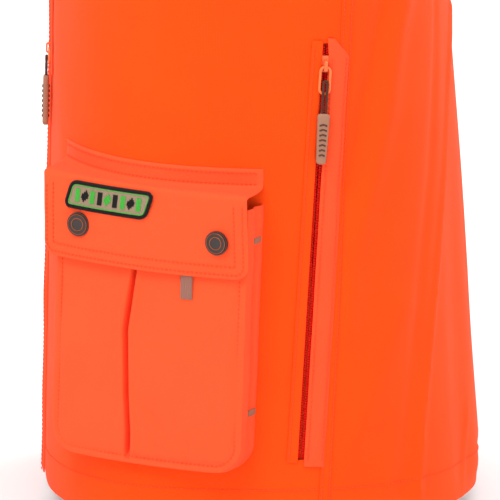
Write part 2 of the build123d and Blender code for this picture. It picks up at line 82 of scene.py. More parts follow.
def front_depth(z):
    """Depth of the front face at the middle, at a height."""
    return FRONT_HEM - FRONT_SLOPE * (z - HEM)


# height, half width, front depth, back depth
LEVELS = np.array([
    (-660, 180, 143, 150), (-300, 180, front_depth(-300), 127), (-220, 178, front_depth(-220), 123),
    (-160, 176, front_depth(-160), 119), (-112, 173, front_depth(-112), 112), (-98, 172, 128, 109),
    (-80, 169, 114, 103), (-60, 160, 96, 95), (-46, 142, 76, 86), (-36, 118, 54, 76), (-29, 92, 34, 66),
    (-28.2, 62, 14, 46),
], float)


def dense_levels():
    """Levels every millimetre of run, with the shoulder's corners eased."""
    run = np.concatenate([[0], np.cumsum(np.hypot(np.diff(LEVELS[:, 0]), np.diff(LEVELS[:, 1])))])
    steps = np.arange(0, run[-1], 1.0)
    table = np.stack([np.interp(steps, run, LEVELS[:, k]) for k in range(4)], 1)
    kernel = np.ones(13) / 13
    padded = np.pad(table, ((6, 6), (0, 0)), mode="edge")
    soft = np.stack([np.convolve(padded[:, k], kernel, "valid") for k in range(4)], 1)
    share = np.clip((table[:, 0] + 125) / 20, 0, 1)[:, None]
    share[-8:] = 0
    return steps, table * (1 - share) + soft * share


RUN, TABLE = dense_levels()


def at_height(z):
    """Half width, front depth and back depth at heights z."""
    return [np.interp(z, TABLE[:, 0], TABLE[:, k]) for k in (1, 2, 3)]


def side_x(y, z):
    """Half width of the body at depth y."""
    a, f, b = at_height(z)
    depth = np.where(np.asarray(y) > 0, b, f)
    return a * np.clip(1 - np.abs(y / depth) ** POWER, 0, 1) ** (1 / POWER)


def front_y(x, z):
    """Depth of the front face at a distance x from the middle."""
    a, f, _ = at_height(z)
    return -f * np.clip(1 - np.abs(x / a) ** POWER, 0, 1) ** (1 / POWER)


def half_curve(a, f, b):
    """Dense left half of a plan section, from the middle of the front to the middle of the back."""
    u = np.linspace(-1, 1, 361)
    angle = np.sign(u) * np.abs(u) ** 1.7 * pi / 2
    c, s = np.clip(np.cos(angle), 0, 1), np.sin(angle)
    x = a * c ** (2 / POWER)
    y = np.where(s < 0, -f, b) * np.abs(s) ** (2 / POWER)
    arc = np.concatenate([[0], np.cumsum(np.hypot(np.diff(x), np.diff(y)))])
    return x, y, arc


def seam_y(z):
    """Depth of the side seam, and of the shoulder seam above the armhole's middle."""
    low = 42 + 16 * (np.asarray(z, float) + 660) / 360
    share = np.clip((np.asarray(z, float) + 225) / 105, 0, 1)
    share = share * share * (3 - 2 * share)
    return low * (1 - share) - 4 * share


# ------------------------------------------------------------------ zip lines
class Line:
    """Straight zip line read from a packed chain's box."""

    def __init__(self, bottom, top, outward):
        self.bottom, self.top = np.array(bottom, float), np.array(top, float)
        self.length = float(np.linalg.norm(self.top - self.bottom))
        self.along = (self.top - self.bottom) / self.length
        side = np.cross(outward, self.along)
        self.side = side / np.linalg.norm(side)
        self.out = np.cross(self.along, self.side)

    def point(self, across, out, down):
        across, out, down = np.broadcast_arrays(across, out, down)
        return (self.top + across[..., None] * self.side + out[..., None] * self.out
                - down[..., None] * self.along)


def mm_box(node):
    """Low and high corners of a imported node, in millimetres in the wearer's frame."""
    low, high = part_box(node)
    return np.array(low) * 1000 - SHIFT, np.array(high) * 1000 - SHIFT


CHAIN_HALF, CHAIN_IN = 2.8, 2.0
low, high = mm_box("left_side_zip_chain")
side_low_y, side_high_y = low[1] + CHAIN_HALF, high[1] - CHAIN_HALF
side_low_z, side_high_z = low[2] - CHAIN_IN, high[2] + CHAIN_IN
SIDE = Line((float(side_x(side_low_y, side_low_z)), side_low_y, side_low_z),
            (float(side_x(side_high_y, side_high_z)), side_high_y, side_high_z), (1, 0.1, 0))
low, high = mm_box("chest_zip_chain")
CHEST_X = (low[0] + high[0]) / 2
CHEST = Line((CHEST_X, float(front_y(CHEST_X, low[2] - CHAIN_IN)), low[2] - CHAIN_IN),
             (CHEST_X, float(front_y(CHEST_X, high[2] + CHAIN_IN)), high[2] + CHAIN_IN), (0.02, -1, 0))
low, high = mm_box("main_zip_chain")
MAIN = Line((0, -float(front_depth(low[2] - CHAIN_IN)), low[2] - CHAIN_IN),
            (0, -float(front_depth(high[2] + CHAIN_IN)), high[2] + CHAIN_IN), (0, -1, 0))
SLIT = 4.6


def side_zip_y(z):
    """Depth of the side zip at a height."""
    return np.interp(z, [SIDE.bottom[2], SIDE.top[2]], [SIDE.bottom[1], SIDE.top[1]])


# ------------------------------------------------------------------ cargo pocket frame
TURN, LEAN, MIDDLE = radians(26), radians(2), -530.0
ORIGIN = np.array([140, -57.2, 0])
W_AXIS = np.array([-sin(TURN), -cos(TURN), 0])
N_AXIS = np.array([cos(TURN), -sin(TURN), 0])
UP = np.array([0, 0, 1.0])
RADIUS, CREST = 268.0, 40.0
BAG_HALF, BAG_TOP, BAG_BOTTOM, BAG_CORNER = 70.0, -440.0, -620.0, 18.0
FLAP_HALF, FLAP_FORWARD, FLAP_TOP, FLAP_BOTTOM, HINGE_N = 76.0, 4.0, -428.0, -487.0, 38.5
CAPS_W, CAP_Z = (50.0, -52.0), -462.5


def arc_n(w, ahead=0.0):
    """Distance of the pocket's curved front from its origin."""
    return CREST - RADIUS + np.sqrt((RADIUS + ahead) ** 2 - np.asarray(w, float) ** 2)


def place(w, n, z):
    """Pocket coordinates to the wearer's frame."""
    w, n, z = np.broadcast_arrays(np.asarray(w, float), n, z)
    across = w * cos(LEAN) - (z - MIDDLE) * sin(LEAN)
    up = MIDDLE + w * sin(LEAN) + (z - MIDDLE) * cos(LEAN)
    return ORIGIN + across[..., None] * W_AXIS + n[..., None] * N_AXIS + up[..., None] * UP


def shell_n(w, z, out=0.0):
    """Where the shell's outer face, moved out, meets a line along the pocket's facing direction."""
    w, z = np.broadcast_arrays(np.asarray(w, float), np.asarray(z, float))
    low, high = np.full(w.shape, -60.0), np.full(w.shape, 70.0)
    for _ in range(26):
        middle = (low + high) / 2
        p = place(w, middle, z)
        a, f, b = at_height(p[..., 2])
        depth = np.where(p[..., 1] > 0, b, f) + out
        inside = np.abs(p[..., 0] / (a + out)) ** POWER + np.abs(p[..., 1] / depth) ** POWER < 1
        low, high = np.where(inside, middle, low), np.where(inside, high, middle)
    return (low + high) / 2


# ------------------------------------------------------------------ folds of the cloth
# centre line as (depth, height) points, height of the fold, its half width
FOLDS = [
    (((103, -270), (99, -317), (95, -333), (92, -351), (86, -389), (79, -418), (70, -455), (63, -481),
      (59, -527)), 3.6, 10),
    (((88, -270), (84, -317), (78, -351), (70, -389), (62, -430)), -2.6, 7),
    (((129, -250), (128, -354), (125, -433), (121, -496), (117, -542), (112, -598), (109, -660)), 2.2, 3.4),
    (((121, -280), (119, -354), (115, -433), (110, -496), (105, -560), (98, -640)), -1.8, 6),
    (((97, -520), (80, -565), (62, -612)), 2.0, 13),
    (((141, -612), (139, -660)), 1.4, 3),
]
# part of the shell under a cargo pocket, where the folds are held flat
CALM_HALF, CALM_DEPTH, CALM_LOW, CALM_HIGH = 86, 16, -634, -400


def relief(p):
    """How far the cloth stands out of its smooth form at points p."""
    x, y, z = np.abs(p[..., 0]), p[..., 1], p[..., 2]
    other = np.where(p[..., 0] < 0, 1.7, 0.0)
    total = 0.75 * np.sin(x / 31 + z / 47 + 0.6 + other) + 0.55 * np.sin(y / 23 - z / 61 + 2.1 - other)
    total = total + 0.35 * np.sin((x + y) / 15 + z / 27 + other)
    drop = np.clip((-z - 330) / 200, 0, 1)
    back = np.clip((y - 100) / 20, 0, 1) * np.clip((110 - x) / 30, 0, 1)
    ripple = np.sin(x / 13 + z / 190 + other) + 0.5 * np.sin(x / 29 - z / 90)
    total = total + back * (0.6 + 1.6 * drop) * ripple
    for path, rise, width in FOLDS:
        ys, zs = np.array(path)[::-1].T
        centre = np.interp(z, zs, ys) + other * 1.5
        apart = np.hypot(y - centre, x - side_x(centre, z))
        ends = np.clip((z - zs[0] + 22) / 22, 0, 1) * np.clip((zs[-1] + 22 - z) / 22, 0, 1)
        ends = ends * ends * (3 - 2 * ends)
        total = total + rise * ends * np.exp(-(apart / width) ** 2) * (x > 40) * (y > 0)
    calm = np.clip((x - 30) / 40, 0, 1)
    calm = np.where(y > 0, 1.0, calm)
    by_zip = np.clip((np.abs(y - side_zip_y(z)) - 9) / 16, 0, 1)
    calm = calm * by_zip ** np.where((x > 120) & (z < -300), 1, 0)
    q = np.array(p, float)
    q[..., 0] = x
    w = (q - ORIGIN) @ W_AXIS
    pocket = (np.abs(w) < CALM_HALF) & (y < CALM_DEPTH) & (z > CALM_LOW) & (z < CALM_HIGH)
    edge = np.minimum(np.minimum(CALM_HALF - np.abs(w), z - CALM_LOW), CALM_HIGH - z)
    calm = calm * np.where(pocket, 1 - np.clip(edge / 10, 0, 1), 1)
    calm = calm * np.clip((-z - 130) / 60, 0.15, 1) * np.clip((z + 660) / 14, 0.25, 1)
    return total * calm


# ------------------------------------------------------------------ mesh helpers
def normals_of(grid):
    """Unit normals of a grid of points, outward when rows go up and columns go from front to back."""
    du = np.gradient(grid, axis=1)
    dv = np.gradient(grid, axis=0)
    n = np.cross(du, dv)
    return n / np.maximum(np.linalg.norm(n, axis=-1, keepdims=True), 1e-9)


def cloth_uv(grid):
    """Lengths along and across the cloth, in metres."""
    u = np.zeros(grid.shape[:2])
    u[:, 1:] = np.cumsum(np.linalg.norm(np.diff(grid, axis=1), axis=-1), axis=1)
    v = np.zeros(grid.shape[:2])
    v[1:] = np.cumsum(np.linalg.norm(np.diff(grid, axis=0), axis=-1), axis=0)
    middle = grid.shape[1] // 2
    return np.stack([u, np.repeat(v[:, middle:middle + 1], grid.shape[1], 1)], -1) / 1000


class Mesh:
    """Vertices, faces and cloth coordinates gathered for one piece."""

    def __init__(self):
        self.v, self.f, self.uv, self.count = [], [], [], 0

    def add(self, points, faces, uv=None):
        points = np.asarray(points, float).reshape(-1, 3)
        self.v.append(points)
        self.uv.append(np.zeros((len(points), 2)) if uv is None else np.asarray(uv).reshape(-1, 2))
        self.f += [tuple(i + self.count for i in face) for face in faces]
        self.count += len(points)
        return self

    def mirrored(self):
        other = Mesh()
        other.v = [v * np.array([-1.0, 1, 1]) for v in self.v]
        other.f = [face[::-1] for face in self.f]
        other.uv, other.count = list(self.uv), self.count
        return other

    def make(self, name, material, body, slot, *nodes, sharp=42):
        verts = (np.concatenate(self.v) + SHIFT) / 1000
        mesh = bpy.data.meshes.new(name)
        mesh.from_pydata(verts.tolist(), [], self.f)
        mesh.validate()
        layer = mesh.uv_layers.new(name="cloth")
        uv = np.concatenate(self.uv)
        index = np.empty(len(mesh.loops), int)
        mesh.loops.foreach_get("vertex_index", index)
        layer.data.foreach_set("uv", uv[index].astype(np.float32).ravel())
        mesh.polygons.foreach_set("use_smooth", [True] * len(mesh.polygons))
        mesh.set_sharp_from_angle(angle=radians(sharp))
        obj = bpy.data.objects.new(name, mesh)
        bpy.context.scene.collection.objects.link(obj)
        obj.data.materials.append(material)
        if body:
            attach(obj, body)
        if nodes:
            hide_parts(*nodes)
        return obj


def thick_sheet(grid, thick, out=0.0, keep=None, flip=False, edge=0.35, fold=True, normals=None):
    """Closed cloth layer on a grid: its outer face stands out from the grid, its inner face lies below."""
    rows, cols = grid.shape[:2]
    n = normals_of(grid) if normals is None else normals
    if flip:
        n = -n
    lift = out + (relief(grid) if fold else 0.0)
    lift = np.broadcast_to(lift, (rows, cols))
    outer = grid + n * lift[..., None]
    faces = []
    mask = np.ones((rows - 1, cols - 1), bool) if keep is None else keep
    for i, j in zip(*np.nonzero(mask)):
        a = i * cols + j
        face = (a, a + 1, a + cols + 1, a + cols)
        faces.append(face[::-1] if flip else face)
    sides = {}
    for face in faces:
        for k in range(4):
            e = (face[k], face[(k + 1) % 4])
            if (e[1], e[0]) in sides:
                del sides[(e[1], e[0])]
            else:
                sides[e] = True
    rim = np.zeros(rows * cols, bool)
    for a, b in sides:
        rim[a] = rim[b] = True
    rim = rim.reshape(rows, cols)
    outer = outer - n * (rim * edge * thick)[..., None]
    inner = grid + n * (lift - thick + rim * edge * thick * 0.5)[..., None]
    total = rows * cols
    used = np.zeros(total, bool)
    for face in faces:
        for k in face:
            used[k] = True
    back = [tuple(k + total for k in face[::-1]) for face in faces]
    walls = [(b, a, a + total, b + total) for a, b in sides]
    points = np.concatenate([outer.reshape(-1, 3), inner.reshape(-1, 3)])
    uv = cloth_uv(grid).reshape(-1, 2)
    uv = np.concatenate([uv, uv])
    used2 = np.concatenate([used, used])
    index = np.cumsum(used2) - 1
    remap = [tuple(int(index[k]) for k in face) for face in faces + back + walls]
    return Mesh().add(points[used2], remap, uv[used2])


def tube(path, radius, sides=8, closed=False, twist=0.0):
    """Round tube along points; twist gives it the lay of a two-ply cord."""
    path = np.asarray(path, float)
    count = len(path)
    ahead = np.roll(path, -1, 0) - np.roll(path, 1, 0) if closed else np.gradient(path, axis=0)
    ahead = ahead / np.maximum(np.linalg.norm(ahead, axis=1, keepdims=True), 1e-9)
    up = np.cross(ahead[0], [0.31, 0.2, 0.93])
    up = up / np.linalg.norm(up)
    points = []
    run = 0.0
    for i in range(count):
        up = up - ahead[i] * np.dot(up, ahead[i])
        up = up / np.linalg.norm(up)
        side = np.cross(ahead[i], up)
        if i:
            run += float(np.linalg.norm(path[i] - path[i - 1]))
        for k in range(sides):
            angle = 2 * pi * k / sides
            r = radius * (1 + (0.16 * cos(2 * (angle - twist * run)) if twist else 0))
            points.append(path[i] + up * r * cos(angle) + side * r * sin(angle))
    faces = []
    for i in range(count if closed else count - 1):
        a, b = i * sides, ((i + 1) % count) * sides
        for k in range(sides):
            m = (k + 1) % sides
            faces.append((a + k, a + m, b + m, b + k))
    if not closed:
        faces.append(tuple(range(sides))[::-1])
        faces.append(tuple((count - 1) * sides + k for k in range(sides)))
    return points, faces


def stitch_row(mesh, path, normal, pitch=3.0, length=2.25, radius=0.36, lift=0.12):
    """Row of thread dashes along a path, each sinking into the cloth at both ends."""
    path, normal = np.asarray(path, float), np.asarray(normal, float)
    run = np.concatenate([[0], np.cumsum(np.linalg.norm(np.diff(path, axis=0), axis=1))])
    count = int(run[-1] // pitch)
    if count < 1:
        return
    shares = np.array([-0.5, -0.3, 0.0, 0.3, 0.5])
    heights = np.array([-0.5, 0.35, 0.75, 0.35, -0.5]) * radius + lift
    widths = np.array([0.25, 0.9, 1.0, 0.9, 0.25]) * radius
    for i in range(count):
        middle = (i + 0.5) * pitch
        where = np.clip(middle + shares * length, 0, run[-1])
        p = np.stack([np.interp(where, run, path[:, k]) for k in range(3)], 1)
        n = np.array([np.interp(middle, run, normal[:, k]) for k in range(3)])
        along = p[-1] - p[0]
        size = np.linalg.norm(along)
        if size < 1e-6:
            continue
        along = along / size
        n = n - along * np.dot(n, along)
        n = n / max(np.linalg.norm(n), 1e-9)
        side = np.cross(along, n)
        points = []
        for k in range(5):
            centre = p[k] + n * heights[k]
            for angle in (0, 0.4 * pi, 0.8 * pi, 1.2 * pi, 1.6 * pi):
                points.append(centre + widths[k] * (side * cos(angle) + n * sin(angle)))
        faces = []
        for k in range(4):
            for m in range(5):
                q = (m + 1) % 5
                faces.append((k * 5 + m, k * 5 + q, k * 5 + 5 + q, k * 5 + 5 + m))
        faces.append((4, 3, 2, 1, 0))
        faces.append((20, 21, 22, 23, 24))
        mesh.add(points, faces)


def stitch_grid_line(mesh, points, out=0.0, fold=True):
    """Stitches along points that lie on the smooth form, at the outer face of a layer."""
    points = np.asarray(points, float)
    n = body_normal(points)
    lift = out + (relief(points) if fold else 0.0)
    stitch_row(mesh, points + n * np.broadcast_to(lift, points.shape[:1])[:, None], n)


def body_normal(p):
    """Outward direction of the smooth form at points p."""
    a, f, b = at_height(p[..., 2])
    depth = np.where(p[..., 1] > 0, b, f)
    gx = np.sign(p[..., 0]) * np.abs(p[..., 0] / a) ** (POWER - 1) / a
    gy = np.sign(p[..., 1]) * np.abs(p[..., 1] / depth) ** (POWER - 1) / depth
    step = 2.0
    a2, f2, b2 = at_height(p[..., 2] + step)
    depth2 = np.where(p[..., 1] > 0, b2, f2)
    level = np.abs(p[..., 0] / a) ** POWER + np.abs(p[..., 1] / depth) ** POWER
    level2 = np.abs(p[..., 0] / a2) ** POWER + np.abs(p[..., 1] / depth2) ** POWER
    gz = (level2 - level) / step / POWER
    g = np.stack([gx, gy, gz], -1)
    return g / np.maximum(np.linalg.norm(g, axis=-1, keepdims=True), 1e-12)


# ------------------------------------------------------------------ materials
def linear(r, g, b):
    """Linear colour of an sRGB colour given from 0 to 255."""
    shares = [c / 255 for c in (r, g, b)]
    return tuple(c / 12.92 if c <= 0.04045 else ((c + 0.055) / 1.055) ** 2.4 for c in shares) + (1.0,)


def scaled(color, share):
    """Colour made lighter or darker by a share."""
    return tuple(min(1.0, c * share) for c in color[:3]) + (1.0,)


def base_material(name, rough, specular=0.3):
    """New material with its node tree and shader."""
    mat = bpy.data.materials.new(name)
    mat.use_nodes = True
    shader = mat.node_tree.nodes["Principled BSDF"]
    shader.inputs["Roughness"].default_value = rough
    shader.inputs["Specular IOR Level"].default_value = specular
    return mat, mat.node_tree, shader


def add(tree, kind, **values):
    """New node; a value goes to the socket of its name, or else to the node's own setting."""
    node = tree.nodes.new(kind)
    for key, value in values.items():
        if key in node.inputs:
            node.inputs[key].default_value = value
        else:
            setattr(node, key, value)
    return node


def texture(tree, kind, vector, **values):
    """Texture node read at a vector socket."""
    node = add(tree, kind, **values)
    tree.links.new(vector, node.inputs["Vector"])
    return node


def ramp(tree, value, low, high):
    """Socket that goes from 0 to 1 as another goes from low to high."""
    node = add(tree, "ShaderNodeMapRange", **{"From Min": low, "From Max": high})
    tree.links.new(value, node.inputs["Value"])
    return node.outputs["Result"]


def two_colors(tree, share, first, second):
    """Socket that goes from the first colour or socket to the second with a share."""
    node = add(tree, "ShaderNodeMix", data_type="RGBA")
    tree.links.new(share, node.inputs["Factor"])
    ends = [socket for socket in node.inputs if socket.type == "RGBA"]
    for end, value in zip(ends, (first, second)):
        if isinstance(value, tuple):
            end.default_value = value
        else:
            tree.links.new(value, end)
    return [socket for socket in node.outputs if socket.type == "RGBA"][0]


def relief_of(tree, shader, height, strength, distance, under=None):
    """Bump from a height socket into the shader, over another bump's normal if there is one."""
    node = add(tree, "ShaderNodeBump", Strength=strength, Distance=distance)
    tree.links.new(height, node.inputs["Height"])
    if under is not None:
        tree.links.new(under, node.inputs["Normal"])
    tree.links.new(node.outputs["Normal"], shader.inputs["Normal"])
    return node.outputs["Normal"]


def tone(tree, shader, color, spread, coords, scale):
    """Cloudy variation of a colour, with a finer speckle over it."""
    broad = texture(tree, "ShaderNodeTexNoise", coords, Scale=scale, Detail=4.0)
    fine = texture(tree, "ShaderNodeTexNoise", coords, Scale=scale * 34, Detail=2.0)
    both = add(tree, "ShaderNodeMath", operation="ADD")
    tree.links.new(broad.outputs["Fac"], both.inputs[0])
    tree.links.new(fine.outputs["Fac"], both.inputs[1])
    share = ramp(tree, both.outputs[0], 0.6, 1.4)
    result = two_colors(tree, share, scaled(color, 1 - spread), scaled(color, 1 + spread * 0.6))
    tree.links.new(result, shader.inputs["Base Color"])
    return result


def cloth(name, color, pitch=0.0010, depth=0.00016, spread=0.08, rough=0.78, ribs=False):
    """Woven cloth: threads both ways as relief, or ribs one way, with a cloudy tone."""
    mat, tree, shader = base_material(name, rough, 0.12)
    shader.inputs["Sheen Weight"].default_value = 0.03
    shader.inputs["Sheen Roughness"].default_value = 0.5
    place_in = add(tree, "ShaderNodeTexCoord").outputs["Object"]
    tone(tree, shader, color, spread, place_in, 26.0)
    uv = add(tree, "ShaderNodeUVMap", uv_map="cloth").outputs["UV"]
    waves = []
    for direction in ("X", "Y"):
        wave = texture(tree, "ShaderNodeTexWave", uv, bands_direction=direction, Scale=0.31416 / pitch,
                       Distortion=0.25)
        wave.inputs["Detail Scale"].default_value = 40.0
        waves.append(wave)
    join = add(tree, "ShaderNodeMath", operation="MAXIMUM" if ribs else "MULTIPLY")
    tree.links.new(waves[0].outputs["Fac"], join.inputs[0])
    tree.links.new(waves[0 if ribs else 1].outputs["Fac"], join.inputs[1])
    weave = relief_of(tree, shader, join.outputs[0], 0.7, depth)
    crease = texture(tree, "ShaderNodeTexNoise", place_in, Scale=60.0, Detail=5.0)
    relief_of(tree, shader, crease.outputs["Fac"], 0.35, 0.0009, under=weave)
    return mat


def netting(name, color, hole_shade, pitch=0.0032):
    """Warp-knit mesh: small round holes in staggered rows, the holes painted dark as painted shade of what lies
    behind them.
    """
    mat, tree, shader = base_material(name, 0.8, 0.2)
    uv = add(tree, "ShaderNodeUVMap", uv_map="cloth").outputs["UV"]
    cells = texture(tree, "ShaderNodeTexVoronoi", uv, Scale=1 / pitch, Randomness=0.12)
    ring = ramp(tree, cells.outputs["Distance"], 0.26, 0.36)
    tree.links.new(two_colors(tree, ring, hole_shade, color), shader.inputs["Base Color"])
    relief_of(tree, shader, ring, 0.8, 0.0004)
    return mat


def hard(name, color, rough, metallic=0.0, worn=None, coat=0.0, specular=0.5):
    """Moulded, painted or plated part with fine grain and worn edges."""
    mat, tree, shader = base_material(name, rough, specular)
    shader.inputs["Metallic"].default_value = metallic
    shader.inputs["Coat Weight"].default_value = coat
    place_in = add(tree, "ShaderNodeTexCoord").outputs["Object"]
    result = tone(tree, shader, color, 0.10, place_in, 160.0)
    if worn:
        share = ramp(tree, add(tree, "ShaderNodeNewGeometry").outputs["Pointiness"], 0.6, 0.85)
        tree.links.new(two_colors(tree, share, result, worn), shader.inputs["Base Color"])
    grain = texture(tree, "ShaderNodeTexNoise", place_in, Scale=240.0, Detail=3.0)
    relief_of(tree, shader, grain.outputs["Fac"], 0.5, 0.00004)
    return mat


SHELL = cloth("shell_weave", linear(252, 72, 5))
TRIM = cloth("coral_weave", linear(252, 80, 40), pitch=0.0012, spread=0.06)
POCKET = cloth("pocket_weave", linear(252, 83, 42), pitch=0.0010, spread=0.06)
FACING = cloth("facing_weave", linear(236, 84, 24), pitch=0.0012)
# lining knit in its own orange; its holes are painted dark orange as painted shade
MESH = netting("mesh_knit_shaded_holes", linear(226, 92, 40), linear(70, 20, 8))
BINDING = cloth("binding_rib", linear(238, 80, 20), pitch=0.0014, depth=0.0003, ribs=True)
# zip tape colour deepened to the dark red of the shaded zip gap: painted shade over a red-orange tape
TAPE_PAINTED_SHADE = cloth("zip_tape_twill_painted_shade", linear(250, 24, 4), pitch=0.0009, ribs=True)
# zip coil colour is the same dark red: painted shade of the zip gap over an orange coil
COIL_PAINTED_SHADE = hard("zip_coil_nylon_painted_shade", linear(246, 26, 5), 0.55, specular=0.2)
ENAMEL = hard("slider_enamel", linear(246, 100, 30), 0.34, worn=linear(150, 96, 66), coat=0.3)
WIRE = hard("loop_enamel", linear(250, 110, 40), 0.36, worn=linear(170, 110, 76), coat=0.3)
CORD = cloth("pull_braid", linear(84, 48, 36), pitch=0.0008, depth=0.0003, rough=0.85)
RUBBER = hard("pull_rubber", linear(158, 112, 88), 0.62, specular=0.3)
RUBBER_MARK = hard("pull_rubber_raised", linear(78, 46, 32), 0.6, specular=0.3)
WEBBING = cloth("tab_webbing", linear(150, 104, 90), pitch=0.0016, depth=0.0005, ribs=True, rough=0.85)
SNAP = hard("snap_gunmetal", linear(64, 58, 56), 0.4, metallic=0.7, worn=linear(130, 110, 98))
COPPER = hard("snap_copper", linear(176, 92, 52), 0.36, metallic=0.8)
THREAD = cloth("thread", linear(240, 72, 34), pitch=0.0006, rough=0.6)
TACK_THREAD = cloth("bartack_thread", linear(150, 104, 84), pitch=0.0007, rough=0.7)
BADGE_FIELD = cloth("badge_twill", linear(150, 128, 104), pitch=0.0011, depth=0.0003, ribs=True)
BADGE_GREEN = cloth("badge_green_thread", linear(70, 170, 62), pitch=0.0009, rough=0.5)
BADGE_BLACK = cloth("badge_black_thread", linear(26, 26, 24), pitch=0.0009, rough=0.6)

# ------------------------------------------------------------------ shell panels
rows_low = np.unique(np.concatenate([
    np.linspace(HEM, -208, 112), [SIDE.bottom[2], SIDE.top[2], CHEST.bottom[2], CHEST.top[2]],
]))
rows_low = np.array([z for i, z in enumerate(rows_low) if i == 0 or z - rows_low[i - 1] > 0.4])
rows_high = np.interp(np.arange(np.interp(-204, TABLE[:, 0], RUN), RUN[-1], 3.0), RUN, TABLE[:, 0])
HEIGHTS = np.concatenate([rows_low, rows_high[rows_high > rows_low[-1] + 1]])
ARM_Y, ARM_Z, ARM_RY, ARM_RZ = -2.0, -174.0, 70.0, 116.0
NECK_ORIGIN = np.array([0, -29.5, -65.0])
NECK_UP = np.array([0, -70.0, 203.0]) / sqrt(70 ** 2 + 203 ** 2)
NECK_Y = np.cross(NECK_UP, [1, 0, 0])
NECK_RX, NECK_RY = 85.0, sqrt(203 ** 2 + 70 ** 2) / 2


def row_points(z, anchors, counts):
    """Points of one row between anchors given as arc lengths."""
    a, f, b = [float(v) for v in at_height(z)]
    x, y, arc = half_curve(a, f, b)
    stops = [np.linspace(anchors[k], anchors[k + 1], counts[k], endpoint=False) for k in range(len(counts))]
    where = np.concatenate(stops + [[anchors[-1]]])
    return np.stack([np.interp(where, arc, x), np.interp(where, arc, y), np.full(len(where), z)], 1)


def arc_at(z, x=None, y=None):
    """Arc length from the middle of the front to a place on the left half at a height."""
    xs, ys, arc = half_curve(*[float(v) for v in at_height(z)])
    if y is not None:
        return float(np.interp(y, ys, arc))
    front = arc <= np.interp(0, ys, arc)
    return float(np.interp(x, xs[front], arc[front]))


def open_holes(grid, grow):
    """Faces of a shell grid outside the armhole and the neck, with their edges drawn to the openings."""
    def arm(p):
        return np.hypot((p[..., 1] - ARM_Y) / (ARM_RY + grow), (p[..., 2] - ARM_Z) / (ARM_RZ + grow))

    def neck(p):
        q = p - NECK_ORIGIN
        r = np.hypot(q[..., 0] / (NECK_RX + 1.8), (q @ NECK_Y) / (NECK_RY + 1.8))
        return np.where(q @ NECK_UP > -24, r, 9.0)
    centre = (grid[1:, 1:] + grid[:-1, 1:] + grid[1:, :-1] + grid[:-1, :-1]) / 4
    in_arm = (arm(centre) < 1) & (np.abs(centre[..., 0]) > 60)
    in_neck = neck(centre) < 1
    keep = ~(in_arm | in_neck)
    out = grid.copy()
    for cut, kind in ((in_arm, "arm"), (in_neck, "neck")):
        touched = np.zeros(grid.shape[:2], int)
        for i, j in ((0, 0), (1, 0), (0, 1), (1, 1)):
            touched[i:grid.shape[0] - 1 + i, j:grid.shape[1] - 1 + j] += cut
        edge = (touched > 0) & (touched < 4)
        p = grid[edge]
        if kind == "arm":
            r = arm(p)
            y = ARM_Y + (p[:, 1] - ARM_Y) / r
            z = ARM_Z + (p[:, 2] - ARM_Z) / r
            out[edge] = np.stack([np.sign(p[:, 0]) * side_x(y, z), y, z], 1)
        else:
            r = np.clip(neck(p), 0.97, 1.03)[:, None]
            q = p - NECK_ORIGIN
            up = (q @ NECK_UP)[:, None] * NECK_UP
            out[edge] = NECK_ORIGIN + up + (q - up) / r
    return out, keep


front_counts = (7, 3, 68, 3, 5)
front_rows = []
for z in HEIGHTS:
    zip_y = float(side_zip_y(z))
    seam = float(seam_y(z))
    if seam < zip_y + SLIT + 3:
        zip_y = seam - SLIT - 4
    anchors = [arc_at(z, x=GAP), arc_at(z, x=CHEST_X - SLIT), arc_at(z, x=CHEST_X + SLIT),
               arc_at(z, y=zip_y - SLIT), arc_at(z, y=zip_y + SLIT), arc_at(z, y=seam)]
    front_rows.append(row_points(z, anchors, front_counts))
front_grid, front_keep = open_holes(np.array(front_rows), 1.6)
row_middle = (HEIGHTS[1:] + HEIGHTS[:-1]) / 2
side_cut = front_keep.copy()
columns = sum(front_counts[:3])
side_cut[(row_middle > SIDE.bottom[2]) & (row_middle < SIDE.top[2]), columns:columns + 3] = False
chest_cut = side_cut.copy()
chest_cut[(row_middle > CHEST.bottom[2]) & (row_middle < CHEST.top[2]), 7:10] = False

pieces = {}


def make_one(name, mesh, material, body, slot, *nodes):
    """A piece, kept under its name."""
    pieces[name] = mesh.make(name, material, body, slot, *nodes)
    return pieces[name]


def make_pair(stem, mesh, material, slot, node, body=None):
    """A left piece and its mirror image, on the shell or on the left and right body that is named."""
    for side, shape in (("left", mesh), ("right", mesh.mirrored())):
        nodes = (side + "_" + node,) if node else ()
        make_one(side + "_" + stem, shape, material, side + body if body else "shell", slot, *nodes)


make_one("left_front_cloth", thick_sheet(front_grid, SHELL_THICK, keep=chest_cut),
         SHELL, "shell", "shell_fabric", "left_front_panel")
right_grid = front_grid * np.array([-1.0, 1, 1])
make_one("right_front_cloth", thick_sheet(right_grid, SHELL_THICK, keep=side_cut, flip=True),
         SHELL, "shell", "shell_fabric", "right_front_panel")

back_rows = []
for z in HEIGHTS:
    end = half_curve(*[float(v) for v in at_height(z)])[2][-1]
    half = row_points(z, [arc_at(z, y=float(seam_y(z))), end], (64,))
    back_rows.append(np.concatenate([half, (half * np.array([-1.0, 1, 1]))[-2::-1]]))
back_grid, back_keep = open_holes(np.array(back_rows), 1.6)
make_one("back_cloth", thick_sheet(back_grid, SHELL_THICK, keep=back_keep),
         SHELL, "shell", "shell_fabric", "back_panel")


def around(heights, start_x, count):
    """Whole layer from the left front edge round the back to the right front edge."""
    rows = []
    for z in heights:
        end = half_curve(*[float(v) for v in at_height(z)])[2][-1]
        half = row_points(z, [arc_at(z, x=start_x), end], (count,))
        rows.append(np.concatenate([half, (half * np.array([-1.0, 1, 1]))[-2::-1]]))
    return np.array(rows)


